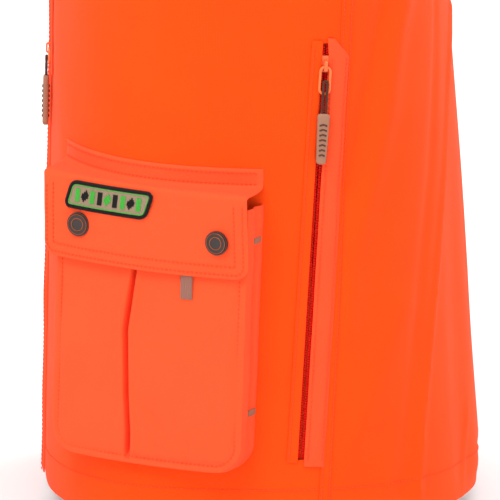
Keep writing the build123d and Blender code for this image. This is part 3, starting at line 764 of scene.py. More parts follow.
lining_heights = np.concatenate([[HEM + 7], HEIGHTS[HEIGHTS > HEM + 9]])
lining_grid, lining_keep = open_holes(around(lining_heights, GAP + 2, 120), 1.0)
make_one("mesh_lining_cloth", thick_sheet(lining_grid, 0.8, out=-6.8, keep=lining_keep, edge=0.1),
         MESH, "shell", "mesh", "mesh_lining")
hem_heights = np.concatenate([[HEM + 0.4, HEM + 1.4], np.linspace(HEM + 3, HEM + 25, 8), [HEM + 25.8]])
make_one("hem_facing_cloth", thick_sheet(around(hem_heights, GAP + 0.6, 120), 3.4, out=-1.6, edge=0.3),
         FACING, "shell", "facing_fabric", "hem_facing")

# ------------------------------------------------------------------ strips on the shell
def side_strip(y_of, heights, offsets):
    """Grid on the side of the body; offsets run from front to back round a line of depth y_of(z)."""
    rows = []
    for z in heights:
        y = float(y_of(z)) + np.asarray(offsets, float)
        rows.append(np.stack([side_x(y, z), y, np.full(len(y), z)], 1))
    return np.array(rows)


def front_strip(x0, x1, heights, count):
    """Grid on the left front, columns from the middle outwards."""
    rows = []
    for z in heights:
        x = np.linspace(x0, x1, count)
        rows.append(np.stack([x, front_y(x, z), np.full(count, z)], 1))
    return np.array(rows)


placket_z = np.linspace(HEM + 1, -113, 150)
PLACKET_IN, PLACKET_OUT = GAP + 0.6, 29
placket_grid = front_strip(PLACKET_IN, PLACKET_OUT, placket_z, 16)
bulge = 1.3 + 0.5 * np.sin(placket_z / 11) + 0.4 * np.sin(placket_z / 31)
across = np.sin(pi * np.linspace(0, 1, 16)) ** 0.6
placket_lift = bulge[:, None] * across[None, :]
make_pair("placket_cloth", thick_sheet(placket_grid, 2.0, out=0.2 + 1.4 + placket_lift * 0.7, edge=0.5),
          TRIM, "coral_trim", "placket")
thread = Mesh()
for x in (GAP + 3, 26.2):
    z = np.linspace(HEM + 2, -115, 200)
    line = np.stack([np.full(200, x), front_y(x, z), z], 1)
    spread = (x - PLACKET_IN) / (PLACKET_OUT - PLACKET_IN)
    lift = 1.6 + 0.7 * np.interp(line[:, 2], placket_z, bulge) * sin(pi * spread) ** 0.6
    stitch_grid_line(thread, line, out=lift)

# felled side seam and its two rows of stitches
seam_z = np.linspace(HEM + 1, -286, 110)
seam_grid = side_strip(seam_y, seam_z, np.linspace(-0.8, 6.6, 9))
make_pair("side_seam_fell", thick_sheet(seam_grid, 1.0, out=0.7, edge=0.55), SHELL, "shell_fabric", None)
for offset, lift in ((0.6, 0.75), (5.6, 0.7)):
    y = seam_y(seam_z) + offset
    stitch_grid_line(thread, np.stack([side_x(y, seam_z), y, seam_z], 1), out=lift)
hem_line = around([HEM + 23.5], GAP + 30, 60)[0]
left_hem = hem_line[hem_line[:, 0] > 0.5]
stitch_grid_line(thread, left_hem, out=0.02)

# guard behind the side zip, lip in front of it
zip_rows = np.linspace(-4, SIDE.length + 4, 96)


def zip_strip(line, across, downs):
    """Grid of points beside a zip, drawn onto the body."""
    grid = line.point(np.asarray(across)[None, :], 0.0, np.asarray(downs)[:, None])
    if abs(line.out[0]) > 0.5:
        grid[..., 0] = side_x(grid[..., 1], grid[..., 2])
    else:
        grid[..., 1] = front_y(grid[..., 0], grid[..., 2])
    return grid[::-1]


guard_across = np.linspace(-2.0, -15.5, 16)
guard = zip_strip(SIDE, guard_across, zip_rows)
taper = np.clip((zip_rows[::-1] + 4) / 12, 0, 1)[:, None]
guard_y = guard[..., 1]
cut = SIDE.point(0.0, 0.0, zip_rows[::-1])[..., 1][:, None]
guard[..., 1] = cut + (guard_y - cut) * (0.35 + 0.65 * taper)
guard[..., 0] = side_x(guard[..., 1], guard[..., 2])
t = np.linspace(0, 1, 16)[None, :]
guard_lift = 1.5 + 0.5 * np.sin(pi * np.clip(t * 1.15, 0, 1)) + 0.25 * np.sin(zip_rows[::-1][:, None] / 9)
make_pair("side_guard_cloth", thick_sheet(guard, 1.3, out=guard_lift, edge=0.5),
          TRIM, "coral_trim", "side_zip_guard")
for offset in (-4.2, -13.8):
    row = zip_strip(SIDE, [offset], np.linspace(8, SIDE.length, 120))[:, 0]
    stitch_grid_line(thread, row, out=1.85)
lip = zip_strip(SIDE, np.linspace(9.5, 2.3, 9), np.linspace(-2, SIDE.length + 2, 96))
make_pair("side_zip_lip", thick_sheet(lip, 1.0, out=1.25, edge=0.5), SHELL, "shell_fabric", None)
stitch_grid_line(thread, zip_strip(SIDE, [8.0], np.linspace(0, SIDE.length, 120))[:, 0], out=1.25)

chest_thread = Mesh()
chest_guard = zip_strip(CHEST, np.linspace(-11.6, -2.2, 10), np.linspace(-4, CHEST.length + 4, 60))
chest_flip = normals_of(chest_guard)[20, 4, 1] > 0
make_one("chest_guard_cloth", thick_sheet(chest_guard, 1.3, out=1.6, edge=0.5, flip=chest_flip),
         TRIM, "shell", "coral_trim", "chest_zip_guard")
for offset in (-10, -4):
    row = zip_strip(CHEST, [offset], np.linspace(0, CHEST.length, 80))[:, 0]
    stitch_grid_line(chest_thread, row, out=1.6, fold=False)
make_one("chest_stitches", chest_thread, THREAD, "shell", "thread")

# ------------------------------------------------------------------ zips
def tape_mesh(line, flat):
    """Two zip tapes with a corded inner edge."""
    mesh = Mesh()
    for sign in (1, -1):
        across = np.linspace(0.38, 13.0, 12) * sign
        downs = np.linspace(0, line.length, 90)
        if flat:
            grid = line.point(across[None, :], 0.0, downs[:, None])[::-1]
        else:
            grid = zip_strip(line, across, downs)
        n = np.broadcast_to(line.out, grid.shape)
        turn = np.dot(np.cross(grid[0, 1] - grid[0, 0], grid[1, 0] - grid[0, 0]), line.out) < 0
        part = thick_sheet(grid, 0.6, out=-2.7, fold=False, edge=0.2, normals=-n if turn else n,
                           flip=bool(turn))
        mesh.add(np.concatenate(part.v), part.f, np.concatenate(part.uv))
    return mesh


def coil_mesh(line):
    """Two rows of coil turns, each an arched bead hooked past the middle."""
    mesh = Mesh()
    pitch = 1.7
    arch = ((0.62, -2.5), (0.7, -1.75), (1.6, -1.65), (2.7, -2.2), (2.75, -3.2))
    for sign in (1, -1):
        start = 2.6 if sign == 1 else 2.6 + pitch / 2
        for i in range(int((line.length - 5) // pitch)):
            down = start + i * pitch
            mesh.add(*tube([line.point(sign * a, out, down) for a, out in arch], 0.5, sides=5))
    return mesh


for name, line in (("main", MAIN), ("chest", CHEST)):
    tapes = tape_mesh(line, name == "main")
    make_one(name + "_tape_cloth", tapes, TAPE_PAINTED_SHADE, "shell", "zip_tape", name + "_zip_tapes")
    make_one(name + "_zip_coils", coil_mesh(line), COIL_PAINTED_SHADE, "shell", "zip_coil", name + "_zip_chain")
make_pair("side_tape_cloth", tape_mesh(SIDE, False), TAPE_PAINTED_SHADE, "zip_tape", "side_zip_tapes")
make_pair("side_zip_coils", coil_mesh(SIDE), COIL_PAINTED_SHADE, "zip_coil", "side_zip_chain")


def pull_pieces(prefix, line):
    """Twin cord and ribbed tab of one zip pull, on its packed box."""
    low, high = mm_box(prefix + "_pull_tab")
    centre = (low + high) / 2
    tab_length, half, thick = 34.0, 4.2, 4.0
    along, side, out = line.along, line.side, line.out
    top = centre + along * tab_length / 2
    rows = 40
    mesh = Mesh()
    marks = Mesh()
    ring = 16
    points, faces = [], []
    for t in np.linspace(0, 1, rows):
        shrink = min(1.0, 0.55 + 2.2 * sqrt(max(t, 0.0)), 0.55 + 2.2 * sqrt(max(1 - t, 0.0)))
        width = (half - 0.9 * t) * shrink
        depth = thick / 2 * shrink
        for k in range(ring):
            a = 2 * pi * k / ring
            x = width * np.sign(cos(a)) * abs(cos(a)) ** 0.45
            y = depth * np.sign(sin(a)) * abs(sin(a)) ** 0.45
            points.append(top + side * x + out * y - along * tab_length * t)
    for i in range(rows - 1):
        for k in range(ring):
            m = (k + 1) % ring
            faces.append((i * ring + k, i * ring + m, i * ring + ring + m, i * ring + ring + k))
    faces.append(tuple(range(ring))[::-1])
    faces.append(tuple((rows - 1) * ring + k for k in range(ring)))
    mesh.add(points, faces)
    for i in range(7):
        down = 7 + i * 3.4
        reach = half - 1.5 - 0.9 * down / tab_length
        for face in (1, -1):
            path = [top + side * x - along * (down + abs(x) * 0.35) + out * face * (thick / 2 + 0.05)
                    for x in (-reach, -reach / 2, 0, reach / 2, reach)]
            marks.add(*tube(path, 0.55, sides=6))
    loop_low, loop_high = mm_box(prefix + "_pull_cord")
    cord_top = top + along * (np.dot(loop_high - loop_low, np.abs(along)) - 1.0)
    foot = top - along * 1.0
    gap = 1.3
    path = []
    for s in np.linspace(0, 1, 14):
        path.append(foot + side * gap + (cord_top - foot) * s - along * gap)
    for angle in np.linspace(0.2, pi - 0.2, 8):
        path.append(cord_top - along * gap + side * gap * cos(angle) + along * gap * sin(angle))
    for s in np.linspace(1, 0, 14):
        path.append(foot - side * gap + (cord_top - foot) * s - along * gap)
    cord = Mesh().add(*tube(path, 0.86, sides=10, twist=2.4))
    return mesh, marks, cord


side_pull = pull_pieces("left_side", SIDE)
for prefix, parts in (("main", pull_pieces("main", MAIN)), ("chest", pull_pieces("chest", CHEST)),
                      ("left_side", side_pull), ("right_side", [part.mirrored() for part in side_pull])):
    body = prefix + "_pull"
    make_one(prefix + "_tab_rubber", parts[0], RUBBER, body, "pull_rubber", prefix + "_pull_tab")
    make_one(prefix + "_tab_ribs", parts[1], RUBBER_MARK, body, "pull_rubber")
    make_one(prefix + "_cord_braid", parts[2], CORD, body, "pull_cord", prefix + "_pull_cord")

# ------------------------------------------------------------------ cargo bag
PLEAT = ((-440, 6), (-487, 8), (-530, 13.5), (-575, 11.5), (-600, 9.5), (-640, 9.5))


def pleat_w(z):
    """Where the pocket's pleat runs, across the pocket at a height."""
    heights, places = np.array(PLEAT)[::-1].T
    return np.interp(z, heights, places)


def bag_front(w, z):
    """Swell of the pocket's front: folds, the inverted pleat and the pull of its stitched edges."""
    centre = pleat_w(z)
    d = w - centre
    left = np.clip(d / 10, 0, 1)
    right = np.clip(-d / 10, 0, 1)
    lower = np.clip((-z - 487) / 60, 0, 1)
    swell = 2.6 * right * np.exp(-((w + 34) / 30) ** 2) * np.exp(-((z + 545) / 55) ** 2)
    swell += 1.2 * left * np.exp(-((w - 48) / 22) ** 2) * np.exp(-((z + 560) / 45) ** 2)
    slant = (w * 0.55 + (z + 530)) / 13
    swell += left * 0.9 * np.sin(slant) * np.exp(-((z + 530) / 60) ** 2)
    swell += left * 0.5 * np.sin((w * 0.9 - (z + 530)) / 19 + 1.0)
    swell += right * 0.55 * np.sin((w * 0.3 - z) / 21 + 0.4) * lower
    for at_w, at_z, tilt in ((-12, -607, 0.25), (-34, -609, -0.1), (-8, -585, 0.9)):
        away = (w - at_w) - tilt * (z - at_z)
        swell -= 1.3 * np.exp(-(away / 2.6) ** 2) * np.exp(-((z - at_z) / 12) ** 2)
    slot = np.exp(-(d / 1.5) ** 4)
    fade = np.clip((-z - 452) / 18, 0, 1) * np.clip((z + 622) / 10, 0, 1)
    swell -= 6.5 * slot * fade
    swell += 0.9 * np.exp(-((np.abs(d) - 4.2) / 2.2) ** 2) * fade
    return swell


def bag_grid():
    """Front, gussets and rim of the bag on one grid of pocket coordinates."""
    depth = 15.0
    edge_w = np.concatenate([np.arange(-depth, 0, 1.25), np.arange(0, 6, 1.0)])
    coarse = np.arange(-BAG_HALF + 6, BAG_HALF - 5.9, 2.0)
    by_pleat = np.arange(-6, 6.1, 0.6)
    coarse = coarse[np.abs(coarse) > 6.4]
    columns_w = np.unique(np.concatenate([-BAG_HALF + edge_w, coarse, by_pleat, BAG_HALF - edge_w]))
    rows_z = np.unique(np.concatenate([BAG_BOTTOM + edge_w, np.arange(BAG_BOTTOM + 6, BAG_TOP + 0.1, 2.0)]))
    w0, z0 = np.meshgrid(columns_w, rows_z)
    near_pleat = np.clip((50 - np.abs(w0)) / 44, 0, 1)
    w = w0 + near_pleat * pleat_w(z0)
    half_z = 400.0
    centre_z = BAG_BOTTOM + half_z
    qx = np.abs(w) - (BAG_HALF - BAG_CORNER)
    qz = (centre_z - z0) - (half_z - BAG_CORNER)
    outside = np.hypot(np.maximum(qx, 0), np.maximum(qz, 0))
    outside = outside + np.minimum(np.maximum(qx, qz), 0) - BAG_CORNER
    gradient_x = np.where(qx > 0, np.where(qz > 0, qx, 1.0), 0.0) * np.sign(w)
    gradient_z = -np.where(qz > 0, np.where(qx > 0, qz, 1.0), 0.0)
    size = np.maximum(np.hypot(gradient_x, gradient_z), 1e-9)
    gradient_x, gradient_z = gradient_x / size, gradient_z / size
    past = np.clip(outside, 0, depth)
    w_at = w - gradient_x * np.maximum(outside, 0)
    z_at = z0 - gradient_z * np.maximum(outside, 0)
    s = past / depth
    top = arc_n(w_at) + bag_front(w_at, z_at) * np.clip(-outside / 9, 0, 1)
    stitched = np.exp(-((outside + 4.5) / 1.6) ** 2)
    top = top - 0.5 * stitched + 0.45 * np.exp(-((outside + 1.6) / 1.5) ** 2)
    bottom = shell_n(w_at, z_at, -1.4)
    s_eased = np.clip((s - 0.06) / 0.94, 0, 1)
    n = top + (bottom - top) * s_eased ** 0.92 - 1.0 * np.clip(s / 0.06, 0, 1)
    gusset = bottom - top
    belly = np.clip(-gusset / 22, 0.25, 1) * (1.5 * np.sin(pi * s) - 2.6 * np.exp(-((s - 0.5) / 0.13) ** 2))
    along_edge = np.sin(z_at / 13) * 0.35
    tack = np.exp(-((np.abs(z_at + 521) - 58.6) / 5) ** 2) * (w_at < -BAG_HALF + 4)
    belly = (belly * (1 - tack) + 0.9 * tack * np.sin(pi * s) + along_edge * np.sin(pi * s)) * (s > 0)
    entry = (w_at < -BAG_HALF + 4) & (np.abs(z_at + 521) < 56)
    belly = belly - np.where(entry, 1.4 * np.exp(-((s - 0.5) / 0.1) ** 2), 0)
    w_out = w_at + gradient_x * belly
    z_out = z_at + gradient_z * belly
    grid = place(w_out, n, z_out)
    near = outside < depth - 0.01
    keep = near[1:, 1:] | near[:-1, 1:] | near[1:, :-1] | near[:-1, :-1]
    return grid[:, ::-1], keep[:, ::-1]


def faces_in(grid, row, column, outward):
    """Whether a grid's normals point against the outward direction, seen at one of its points."""
    return bool(np.dot(normals_of(grid)[row, column], outward) < 0)


def u_path(half, bottom, top, foot, inset, r, counts):
    """Pocket coordinates down one side, round two corners and up the other side."""
    down, turn, along = counts
    angles = np.linspace(0, pi / 2, turn)
    path = [(-half + inset, z) for z in np.linspace(top, foot, down)]
    path += [(-half + inset + r - r * cos(a), bottom + inset + r - r * sin(a)) for a in angles]
    path += [(w, bottom + inset) for w in np.linspace(-half + inset + r, half - inset - r, along)]
    path += [(half - inset - r + r * sin(a), bottom + inset + r - r * cos(a)) for a in angles]
    return np.array(path + [(half - inset, z) for z in np.linspace(foot, top, down)])


bag, bag_keep = bag_grid()
bag_mesh = thick_sheet(bag, 1.3, keep=bag_keep, fold=False, edge=0.2, flip=faces_in(bag, 60, 60, N_AXIS))
make_pair("cargo_bag_cloth", bag_mesh, POCKET, "shell_fabric", "cargo_bag")
inset = 4.5
edge_path = u_path(BAG_HALF, BAG_BOTTOM, -446, BAG_BOTTOM + BAG_CORNER, inset, BAG_CORNER - inset, (60, 12, 60))
bag_line = place(edge_path[:, 0], arc_n(edge_path[:, 0]) - 0.45, edge_path[:, 1])
stitch_row(thread, bag_line, np.broadcast_to(N_AXIS, bag_line.shape))

# ------------------------------------------------------------------ flap
def flap_edge(z):
    """Half length of the flap at a height, with rounded lower corners."""
    over = np.clip(FLAP_BOTTOM + 9 - z, 0, 9)
    return FLAP_HALF - 9 + np.sqrt(np.maximum(81 - over ** 2, 0))


def flap_middle(z):
    """The flap leans forward a little towards its top edge."""
    return FLAP_FORWARD - 1.0 + 3.0 * np.clip((np.asarray(z, float) - FLAP_BOTTOM) / 70, 0, 1)


def flap_rows():
    """Rows of the flap as a height and a share of the way from the shell to the front."""
    rows = [(z, 0.0) for z in np.linspace(-416.2, -426.6, 7)]
    rows += [(-427.6, 0.04), (-428.1, 0.15), (-428.4, 0.3), (-428.6, 0.46), (-428.8, 0.62), (-429.1, 0.78),
             (-429.8, 0.9), (-431.0, 0.97), (-432.6, 1.0)]
    rows += [(z, 1.0) for z in np.linspace(-434.6, FLAP_BOTTOM + 9, 22)]
    rows += [(FLAP_BOTTOM + 9 - 9 * sin(a), 1.0) for a in np.linspace(0.25, pi / 2, 7)]
    return rows


def flap_wave(w, z):
    """Soft swell of the flap between its stitched edges."""
    swell = 0.7 * np.sin(w / 27 + 0.5) * np.clip((-z - 432) / 20, 0, 1)
    swell = swell + 0.5 * np.exp(-((z + 452) / 10) ** 2) + 0.35 * np.sin(w / 13 + z / 17)
    swell = swell * np.clip((-z - 430) / 10, 0, 1)
    for cap in CAPS_W:
        near = np.exp(-(((w - cap) / 13) ** 4 + ((z - CAP_Z) / 13) ** 4))
        swell = swell * (1 - near) - 0.5 * near
    return swell


flap_out = []
for z, share in flap_rows():
    reach = float(flap_edge(z))
    w = flap_middle(z) + np.linspace(reach, -reach, 78)
    base = shell_n(w, np.full(78, z), 1.6 + (0.3 * sin((z + 416) / 3) if share == 0 else 0))
    ahead = arc_n(w, 4.9) + flap_wave(w, z)
    dip = -1.0 * sin(pi * share) if share < 1 else 0.0
    flap_out.append(place(w, base * (1 - share) + ahead * share, z + dip))
flap_grid = np.array(flap_out)[::-1]
flap_mesh = thick_sheet(flap_grid, 1.9, fold=False, edge=0.45, flip=faces_in(flap_grid, 8, 40, N_AXIS))
for side, sign, shape in (("left", 1, flap_mesh), ("right", -1, flap_mesh.mirrored())):
    nodes = side + "_cargo_flap", side + "_cargo_flap_band"
    obj = make_one(side + "_flap_cloth", shape, POCKET, None, "shell_fabric", *nodes)
    start, end = ((place(0.0, HINGE_N, FLAP_TOP - below) * np.array([sign, 1, 1]) + SHIFT) / 1000
                  for below in (1.0, 6.0))
    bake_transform(obj)

flap_thread = Mesh()
FLAP_CORNER = 9
for inset in (3.0, 8.6):
    path = u_path(FLAP_HALF, FLAP_BOTTOM, -437, FLAP_BOTTOM + FLAP_CORNER, inset, max(FLAP_CORNER - inset, 1.5),
                  (20, 8, 50))
    w, z = path[:, 0] + flap_middle(path[:, 1]), path[:, 1]
    line = place(w, arc_n(w, 5.0) + flap_wave(w, z), z)
    stitch_row(flap_thread, line, np.broadcast_to(N_AXIS, line.shape))
make_pair("flap_stitches", flap_thread, THREAD, "thread", None, body="_flap")
for z in (-418.8, -426.0):
    w = flap_middle(z) + np.linspace(FLAP_HALF - 2, -FLAP_HALF + 2, 80)
    p = place(w, shell_n(w, np.full(80, z), 1.65), z)
    stitch_row(thread, p, body_normal(p))
make_pair("shell_stitches", thread, THREAD, "thread", None)

# grab tab of webbing under the flap's lower edge, a folded loop
GRAB_W = -31.0
tab_rows = []
for z in np.linspace(-503.5, -476, 16):
    w = np.linspace(GRAB_W + 4.1, GRAB_W - 4.1, 7)
    tab_rows.append(place(w, arc_n(w, 2.6) + 0.5 * sin((z + 503) / 8), z))
tab_grid = np.array(tab_rows)
tab_mesh = thick_sheet(tab_grid, 1.1, fold=False, edge=0.4, flip=faces_in(tab_grid, 8, 3, N_AXIS))
make_pair("grab_tab_webbing", tab_mesh, WEBBING, "webbing", "flap_grab_tab", body="_flap")

# ring inlaid in each snap cap's groove
rings = Mesh()
for w in CAPS_W:
    for radius, thick, proud in ((4.2, 0.34, 1.45), (6.7, 0.22, 1.40)):
        a = np.linspace(0, 2 * pi, 40, endpoint=False)
        path = place(w + radius * np.cos(a), float(arc_n(w, 5.8)) + proud, CAP_Z + radius * np.sin(a))
        rings.add(*tube(path, thick, sides=6, closed=True))
make_pair("snap_rings", rings, COPPER, "snap_metal", None, body="_flap")

# ------------------------------------------------------------------ woven badge on the left flap
BADGE_W, BADGE_Z, BADGE_L, BADGE_H = 27.0, -442.5, 64.0, 19.0


def badge_point(u, v, ahead):
    """Point on the badge; u and v run from -1 to 1 along and up its slanted shape."""
    w = BADGE_W + np.asarray(u) * BADGE_L / 2 - np.asarray(v) * 3.0
    z = BADGE_Z + np.asarray(v) * BADGE_H / 2
    return place(w, arc_n(w, 5.2) + ahead, z)


def rounded_ring(inset, count=96, corner=5.0):
    """Outline of the badge inset from its edge, as u and v."""
    hx, hy = BADGE_L / 2 - inset, BADGE_H / 2 - inset
    r = max(corner - inset, 0.8)
    points = []
    for turn, (cx, cy) in enumerate(((1, 1), (-1, 1), (-1, -1), (1, -1))):
        for a in np.linspace(turn * pi / 2, (turn + 1) * pi / 2, 7):
            points.append((cx * (hx - r) + r * cos(a), cy * (hy - r) + r * sin(a)))
    points = np.array(points + [points[0]])
    run = np.concatenate([[0], np.cumsum(np.hypot(*np.diff(points, axis=0).T))])
    where = np.linspace(0, run[-1], count, endpoint=False)
    x, y = np.interp(where, run, points[:, 0]), np.interp(where, run, points[:, 1])
    return x / (BADGE_L / 2), y / (BADGE_H / 2)


us, vs = np.linspace(0.965, -0.965, 60), np.linspace(-0.88, 0.88, 18)
field_grid = np.array([[badge_point(u, v, 1.25) for u in us] for v in vs])
field_mesh = thick_sheet(field_grid, 1.1, fold=False, edge=0.1, flip=faces_in(field_grid, 8, 30, N_AXIS))
make_one("flap_badge_field", field_mesh, BADGE_FIELD, "left_flap", "badge", "flap_badge")
BORDER_IN, BORDER_RADIUS = 0.9, 1.15
border = Mesh()
border.add(*tube(badge_point(*rounded_ring(BORDER_IN, 150), 1.0), BORDER_RADIUS, sides=10, closed=True))
# overlocked turns of thread across the border
ring = badge_point(*rounded_ring(BORDER_IN, 190), 1.0)
for here, following in zip(ring, np.roll(ring, -1, 0)):
    ahead = (following - here) / np.linalg.norm(following - here)
    side = np.cross(ahead, N_AXIS)
    turns = np.linspace(0.1, pi - 0.1, 5)
    arch = [here + (side * cos(t) + N_AXIS * sin(t)) * BORDER_RADIUS + ahead * 0.25 * cos(t) for t in turns]
    border.add(*tube(arch, 0.3, sides=4))
make_one("flap_badge_border", border, BADGE_BLACK, "left_flap", "badge")
green = Mesh()
green.add(*tube(badge_point(*rounded_ring(2.7, 110), 1.45), 0.33, sides=6, closed=True))
black = Mesh()
# generic pattern: a row of slanted bars and diamonds, no lettering
for i in range(9):
    middle = -0.74 + i * 0.185
    target = green if i % 2 == 0 else black
    if i % 3 == 1:
        for k in range(5):
            reach = (2 - abs(k - 2) * 0.62)
            off = (k - 2) * 0.034
            path = [badge_point(middle + off, t * 0.21 * reach, 1.42) for t in (-1, -0.3, 0.3, 1)]
            target.add(*tube(path, 0.5, sides=5))
    else:
        for k in range(4):
            off = (k - 1.5) * 0.028
            path = [badge_point(middle + off + t * 0.03, t * 0.46, 1.42) for t in (-1, -0.3, 0.3, 1)]
            target.add(*tube(path, 0.46, sides=5))
make_one("flap_badge_green", green, BADGE_GREEN, "left_flap", "badge")
make_one("flap_badge_bars", black, BADGE_BLACK, "left_flap", "badge")

# ------------------------------------------------------------------ armhole bindings
ring_rows = []
angles = np.linspace(0, 2 * pi, 160, endpoint=False)
profile = [(cos(a), sin(a)) for a in np.linspace(0, 2 * pi, 14, endpoint=False)]
for a in angles:
    radial = np.array([0, cos(a) / ARM_RY, sin(a) / ARM_RZ])
    radial = radial / np.linalg.norm(radial)
    y, z = ARM_Y + (ARM_RY + 1.6) * cos(a), ARM_Z + (ARM_RZ + 1.6) * sin(a)
    p = np.array([float(side_x(y, z)), y, z])
    n = body_normal(p)
    radial = radial - n * np.dot(radial, n)
    radial = radial / np.linalg.norm(radial)
    for c, s in profile:
        ring_rows.append(p + radial * 2.0 * np.sign(c) * abs(c) ** 0.6
                         + n * (-3.4 + 4.2 * np.sign(s) * abs(s) ** 0.6))
faces = []
count = len(profile)
for i in range(160):
    for k in range(count):
        a, b = i * count, ((i + 1) % 160) * count
        faces.append((a + k, a + (k + 1) % count, b + (k + 1) % count, b + k))
binding_uv = np.stack([np.repeat(angles * 0.09, count), np.tile(np.linspace(0, 0.02, count), 160)], 1)
binding = Mesh().add(ring_rows, faces, binding_uv)
make_pair("armhole_binding_cloth", binding, BINDING, "binding", "armhole_binding")
arm_thread = Mesh()
loop = []
for a in np.linspace(0, 2 * pi, 200):
    y, z = ARM_Y + (ARM_RY + 5.6) * cos(a), ARM_Z + (ARM_RZ + 5.6) * sin(a)
    loop.append((float(side_x(y, z)), y, z))
stitch_grid_line(arm_thread, np.array(loop), out=0.05)
make_pair("armhole_stitches", arm_thread, THREAD, "thread", None)

# ------------------------------------------------------------------ collar
def collar_point(angle, height, grow):
    """Point of the collar's cone, which leans in as it rises."""
    shrink = 8.0 * height / 48.0
    x = (NECK_RX - shrink + grow) * np.cos(angle)
    y = shrink + (NECK_RY - shrink + grow) * np.sin(angle)
    level = NECK_ORIGIN + np.asarray(height)[..., None] * NECK_UP
    return level + x[..., None] * np.array([1.0, 0, 0]) + y[..., None] * NECK_Y


def neck_foot(angle):
    """Height above the neckline's plane where the shell's edge runs round the neck."""
    low, high = np.full(angle.shape, -24.0), np.full(angle.shape, 60.0)
    ring = ((NECK_RX + 2.6) * np.cos(angle))[:, None] * np.array([1.0, 0, 0])
    ring = NECK_ORIGIN + ring + ((NECK_RY + 2.6) * np.sin(angle))[:, None] * NECK_Y
    for _ in range(24):
        middle = (low + high) / 2
        p = ring + middle[:, None] * NECK_UP
        a, f, b = at_height(p[:, 2])
        depth = np.where(p[:, 1] > 0, b, f)
        inside = (np.abs(p[:, 0] / a) ** POWER + np.abs(p[:, 1] / depth) ** POWER < 1) & (p[:, 2] < -29)
        low, high = np.where(inside, middle, low), np.where(inside, high, middle)
    height = (low + high) / 2
    padded = np.pad(height, 4, mode="edge")
    return np.convolve(padded, np.ones(9) / 9, "valid")


def collar_layer(outer, thick, top, name, material, slot, node):
    """Band of the stand collar from one front edge round the back to the other."""
    start = -pi / 2 + GAP / 84.0
    angle = np.linspace(start, start + 2 * pi - 2 * (start + pi / 2), 150)
    rise = 24 * np.cos(angle) ** 2
    foot = neck_foot(angle) - 1.0
    rows = []
    for s in np.linspace(0, 1, 20):
        height = foot + (top + rise - foot) * s
        wave = 0.8 * np.sin(angle * 5 + s * 2) * sin(pi * s) if material is SHELL else 0.0
        flare = np.maximum(1.6 + 8.0 * foot / 48.0, 0) * (1 - s) ** 3
        rows.append(collar_point(angle, height, outer + wave + flare))
    grid = np.array(rows)
    flip = faces_in(grid, 10, 40, grid[10, 40] - NECK_ORIGIN)
    mesh = thick_sheet(grid, thick, fold=False, edge=0.5, flip=flip)
    make_one(name, mesh, material, "shell", slot, node)
    return grid


collar_grid = collar_layer(2.2, 2.2, 48, "collar_cloth", SHELL, "shell_fabric", "collar")
collar_layer(-0.3, 1.5, 47, "collar_facing_cloth", FACING, "facing_fabric", "collar_facing")
collar_thread = Mesh()
for row in (4, 18):
    away = collar_grid[row] - NECK_ORIGIN
    stitch_row(collar_thread, collar_grid[row], away / np.linalg.norm(away, axis=1, keepdims=True))
make_one("collar_stitches", collar_thread, THREAD, "shell", "thread")

# hanger loop inside the back of the collar
low, high = mm_box("hanger_loop")
loop_rows = []
for z in np.linspace(low[2] + 0.2, high[2] - 0.2, 7):
    x = np.linspace(low[0] + 0.3, high[0] - 0.3, 40)
    span = high[1] - low[1] - 1.4
    y = high[1] - 1.4 - span * np.clip(1 - (x / high[0]) ** 2, 0, 1)
    loop_rows.append(np.stack([x, y, np.full(40, z)], 1))
loop_grid = np.array(loop_rows)
loop_mesh = thick_sheet(loop_grid, 1.3, fold=False, edge=0.3, flip=faces_in(loop_grid, 3, 20, (0, -1, 0)))
make_one("hanger_loop_webbing", loop_mesh, WEBBING, "shell", "webbing", "hanger_loop")

# ------------------------------------------------------------------ pocket bags inside
def inner_bag(node, side):
    """Flat bag between shell and lining, over its packed box."""
    low, high = mm_box(node)
    heights = np.linspace(low[2] + 1, high[2] - 1, 70)
    rows = []
    for z in heights:
        if side:
            span = [arc_at(z, y=max(low[1], -150)), arc_at(z, y=high[1] - 1)]
        else:
            span = [arc_at(z, x=low[0] + 1), arc_at(z, x=high[0] - 1)]
        rows.append(row_points(z, span, (40,)))
    return thick_sheet(np.array(rows), 0.9, out=-4.0, edge=0.1)


make_pair("side_bag_cloth", inner_bag("left_side_pocket_bag", True), FACING, "facing_fabric", "side_pocket_bag")
make_one("chest_bag_cloth", inner_bag("chest_pocket_bag", False),
         FACING, "shell", "facing_fabric", "chest_pocket_bag")

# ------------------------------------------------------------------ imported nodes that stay
FINISHES = {"_zip_slider": ENAMEL, "_pull_loop": WIRE, "_snap_": SNAP, "_bartacks": TACK_THREAD}
for name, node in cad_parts.items():
    for part_of_name, finish in FINISHES.items():
        if part_of_name in name:
            if not node.material_slots:
                node.data.materials.append(finish)
            for holder in node.material_slots:
                holder.material = finish

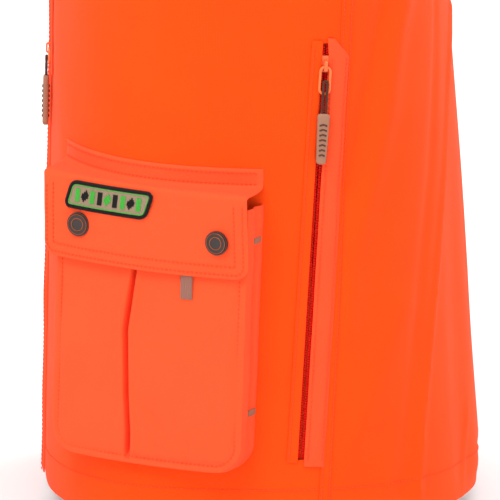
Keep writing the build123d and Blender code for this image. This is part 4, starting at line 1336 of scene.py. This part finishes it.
# ------------------------------------------------------------------ floor, light, camera
floor_mesh = bpy.data.meshes.new("floor")
reach, level = 30.0, CAD_BOX[0][2] - 0.02
corners = [(x * reach, y * reach, level) for x, y in ((-1, -1), (1, -1), (1, 1), (-1, 1))]
floor_mesh.from_pydata(corners, [], [(0, 1, 2, 3)])
floor = bpy.data.objects.new("floor", floor_mesh)
bpy.context.scene.collection.objects.link(floor)
floor_mat, _, floor_shader = base_material("pale_floor", 0.9, 0.1)
floor_shader.inputs["Base Color"].default_value = (0.93, 0.93, 0.93, 1)
floor.data.materials.append(floor_mat)

world = bpy.data.worlds.new("studio")
bpy.context.scene.world = world
world.use_nodes = True
world.node_tree.nodes["Background"].inputs["Color"].default_value = (1, 1, 1, 1)
world.node_tree.nodes["Background"].inputs["Strength"].default_value = 0.95

AIM = (np.array([120.0, -4.0, -486.0]) + SHIFT) / 1000


def area_light(name, place_at, size, power):
    """Square lamp pointed at the middle of the picture."""
    light = bpy.data.lights.new(name, "AREA")
    light.shape = "SQUARE"
    light.size = size
    light.energy = power
    obj = bpy.data.objects.new(name, light)
    bpy.context.scene.collection.objects.link(obj)
    obj.location = place_at
    aim = Vector(AIM.tolist()) - Vector(place_at)
    obj.rotation_euler = aim.to_track_quat("-Z", "Y").to_euler()


area_light("key", (1.3, -0.9, 1.3), 1.0, 26)
area_light("top", (0.3, 0.4, 2.0), 1.6, 22)
area_light("back_fill", (-1.2, 1.4, 0.9), 1.6, 16)

camera = bpy.data.cameras.new("camera")
camera.sensor_width = 36
DISTANCE, WIDTH_SEEN, RISE = 9.0, 0.3333, radians(12)
camera.lens = 36 * DISTANCE / WIDTH_SEEN
camera.clip_end = 100
view = bpy.data.objects.new("camera", camera)
bpy.context.scene.collection.objects.link(view)
view.location = (AIM[0] + DISTANCE * cos(RISE), AIM[1], AIM[2] + DISTANCE * sin(RISE))
toward = Vector(AIM.tolist()) - view.location
view.rotation_euler = toward.to_track_quat("-Z", "Y").to_euler()
bpy.context.scene.camera = view
bpy.context.scene.view_settings.view_transform = "Standard"
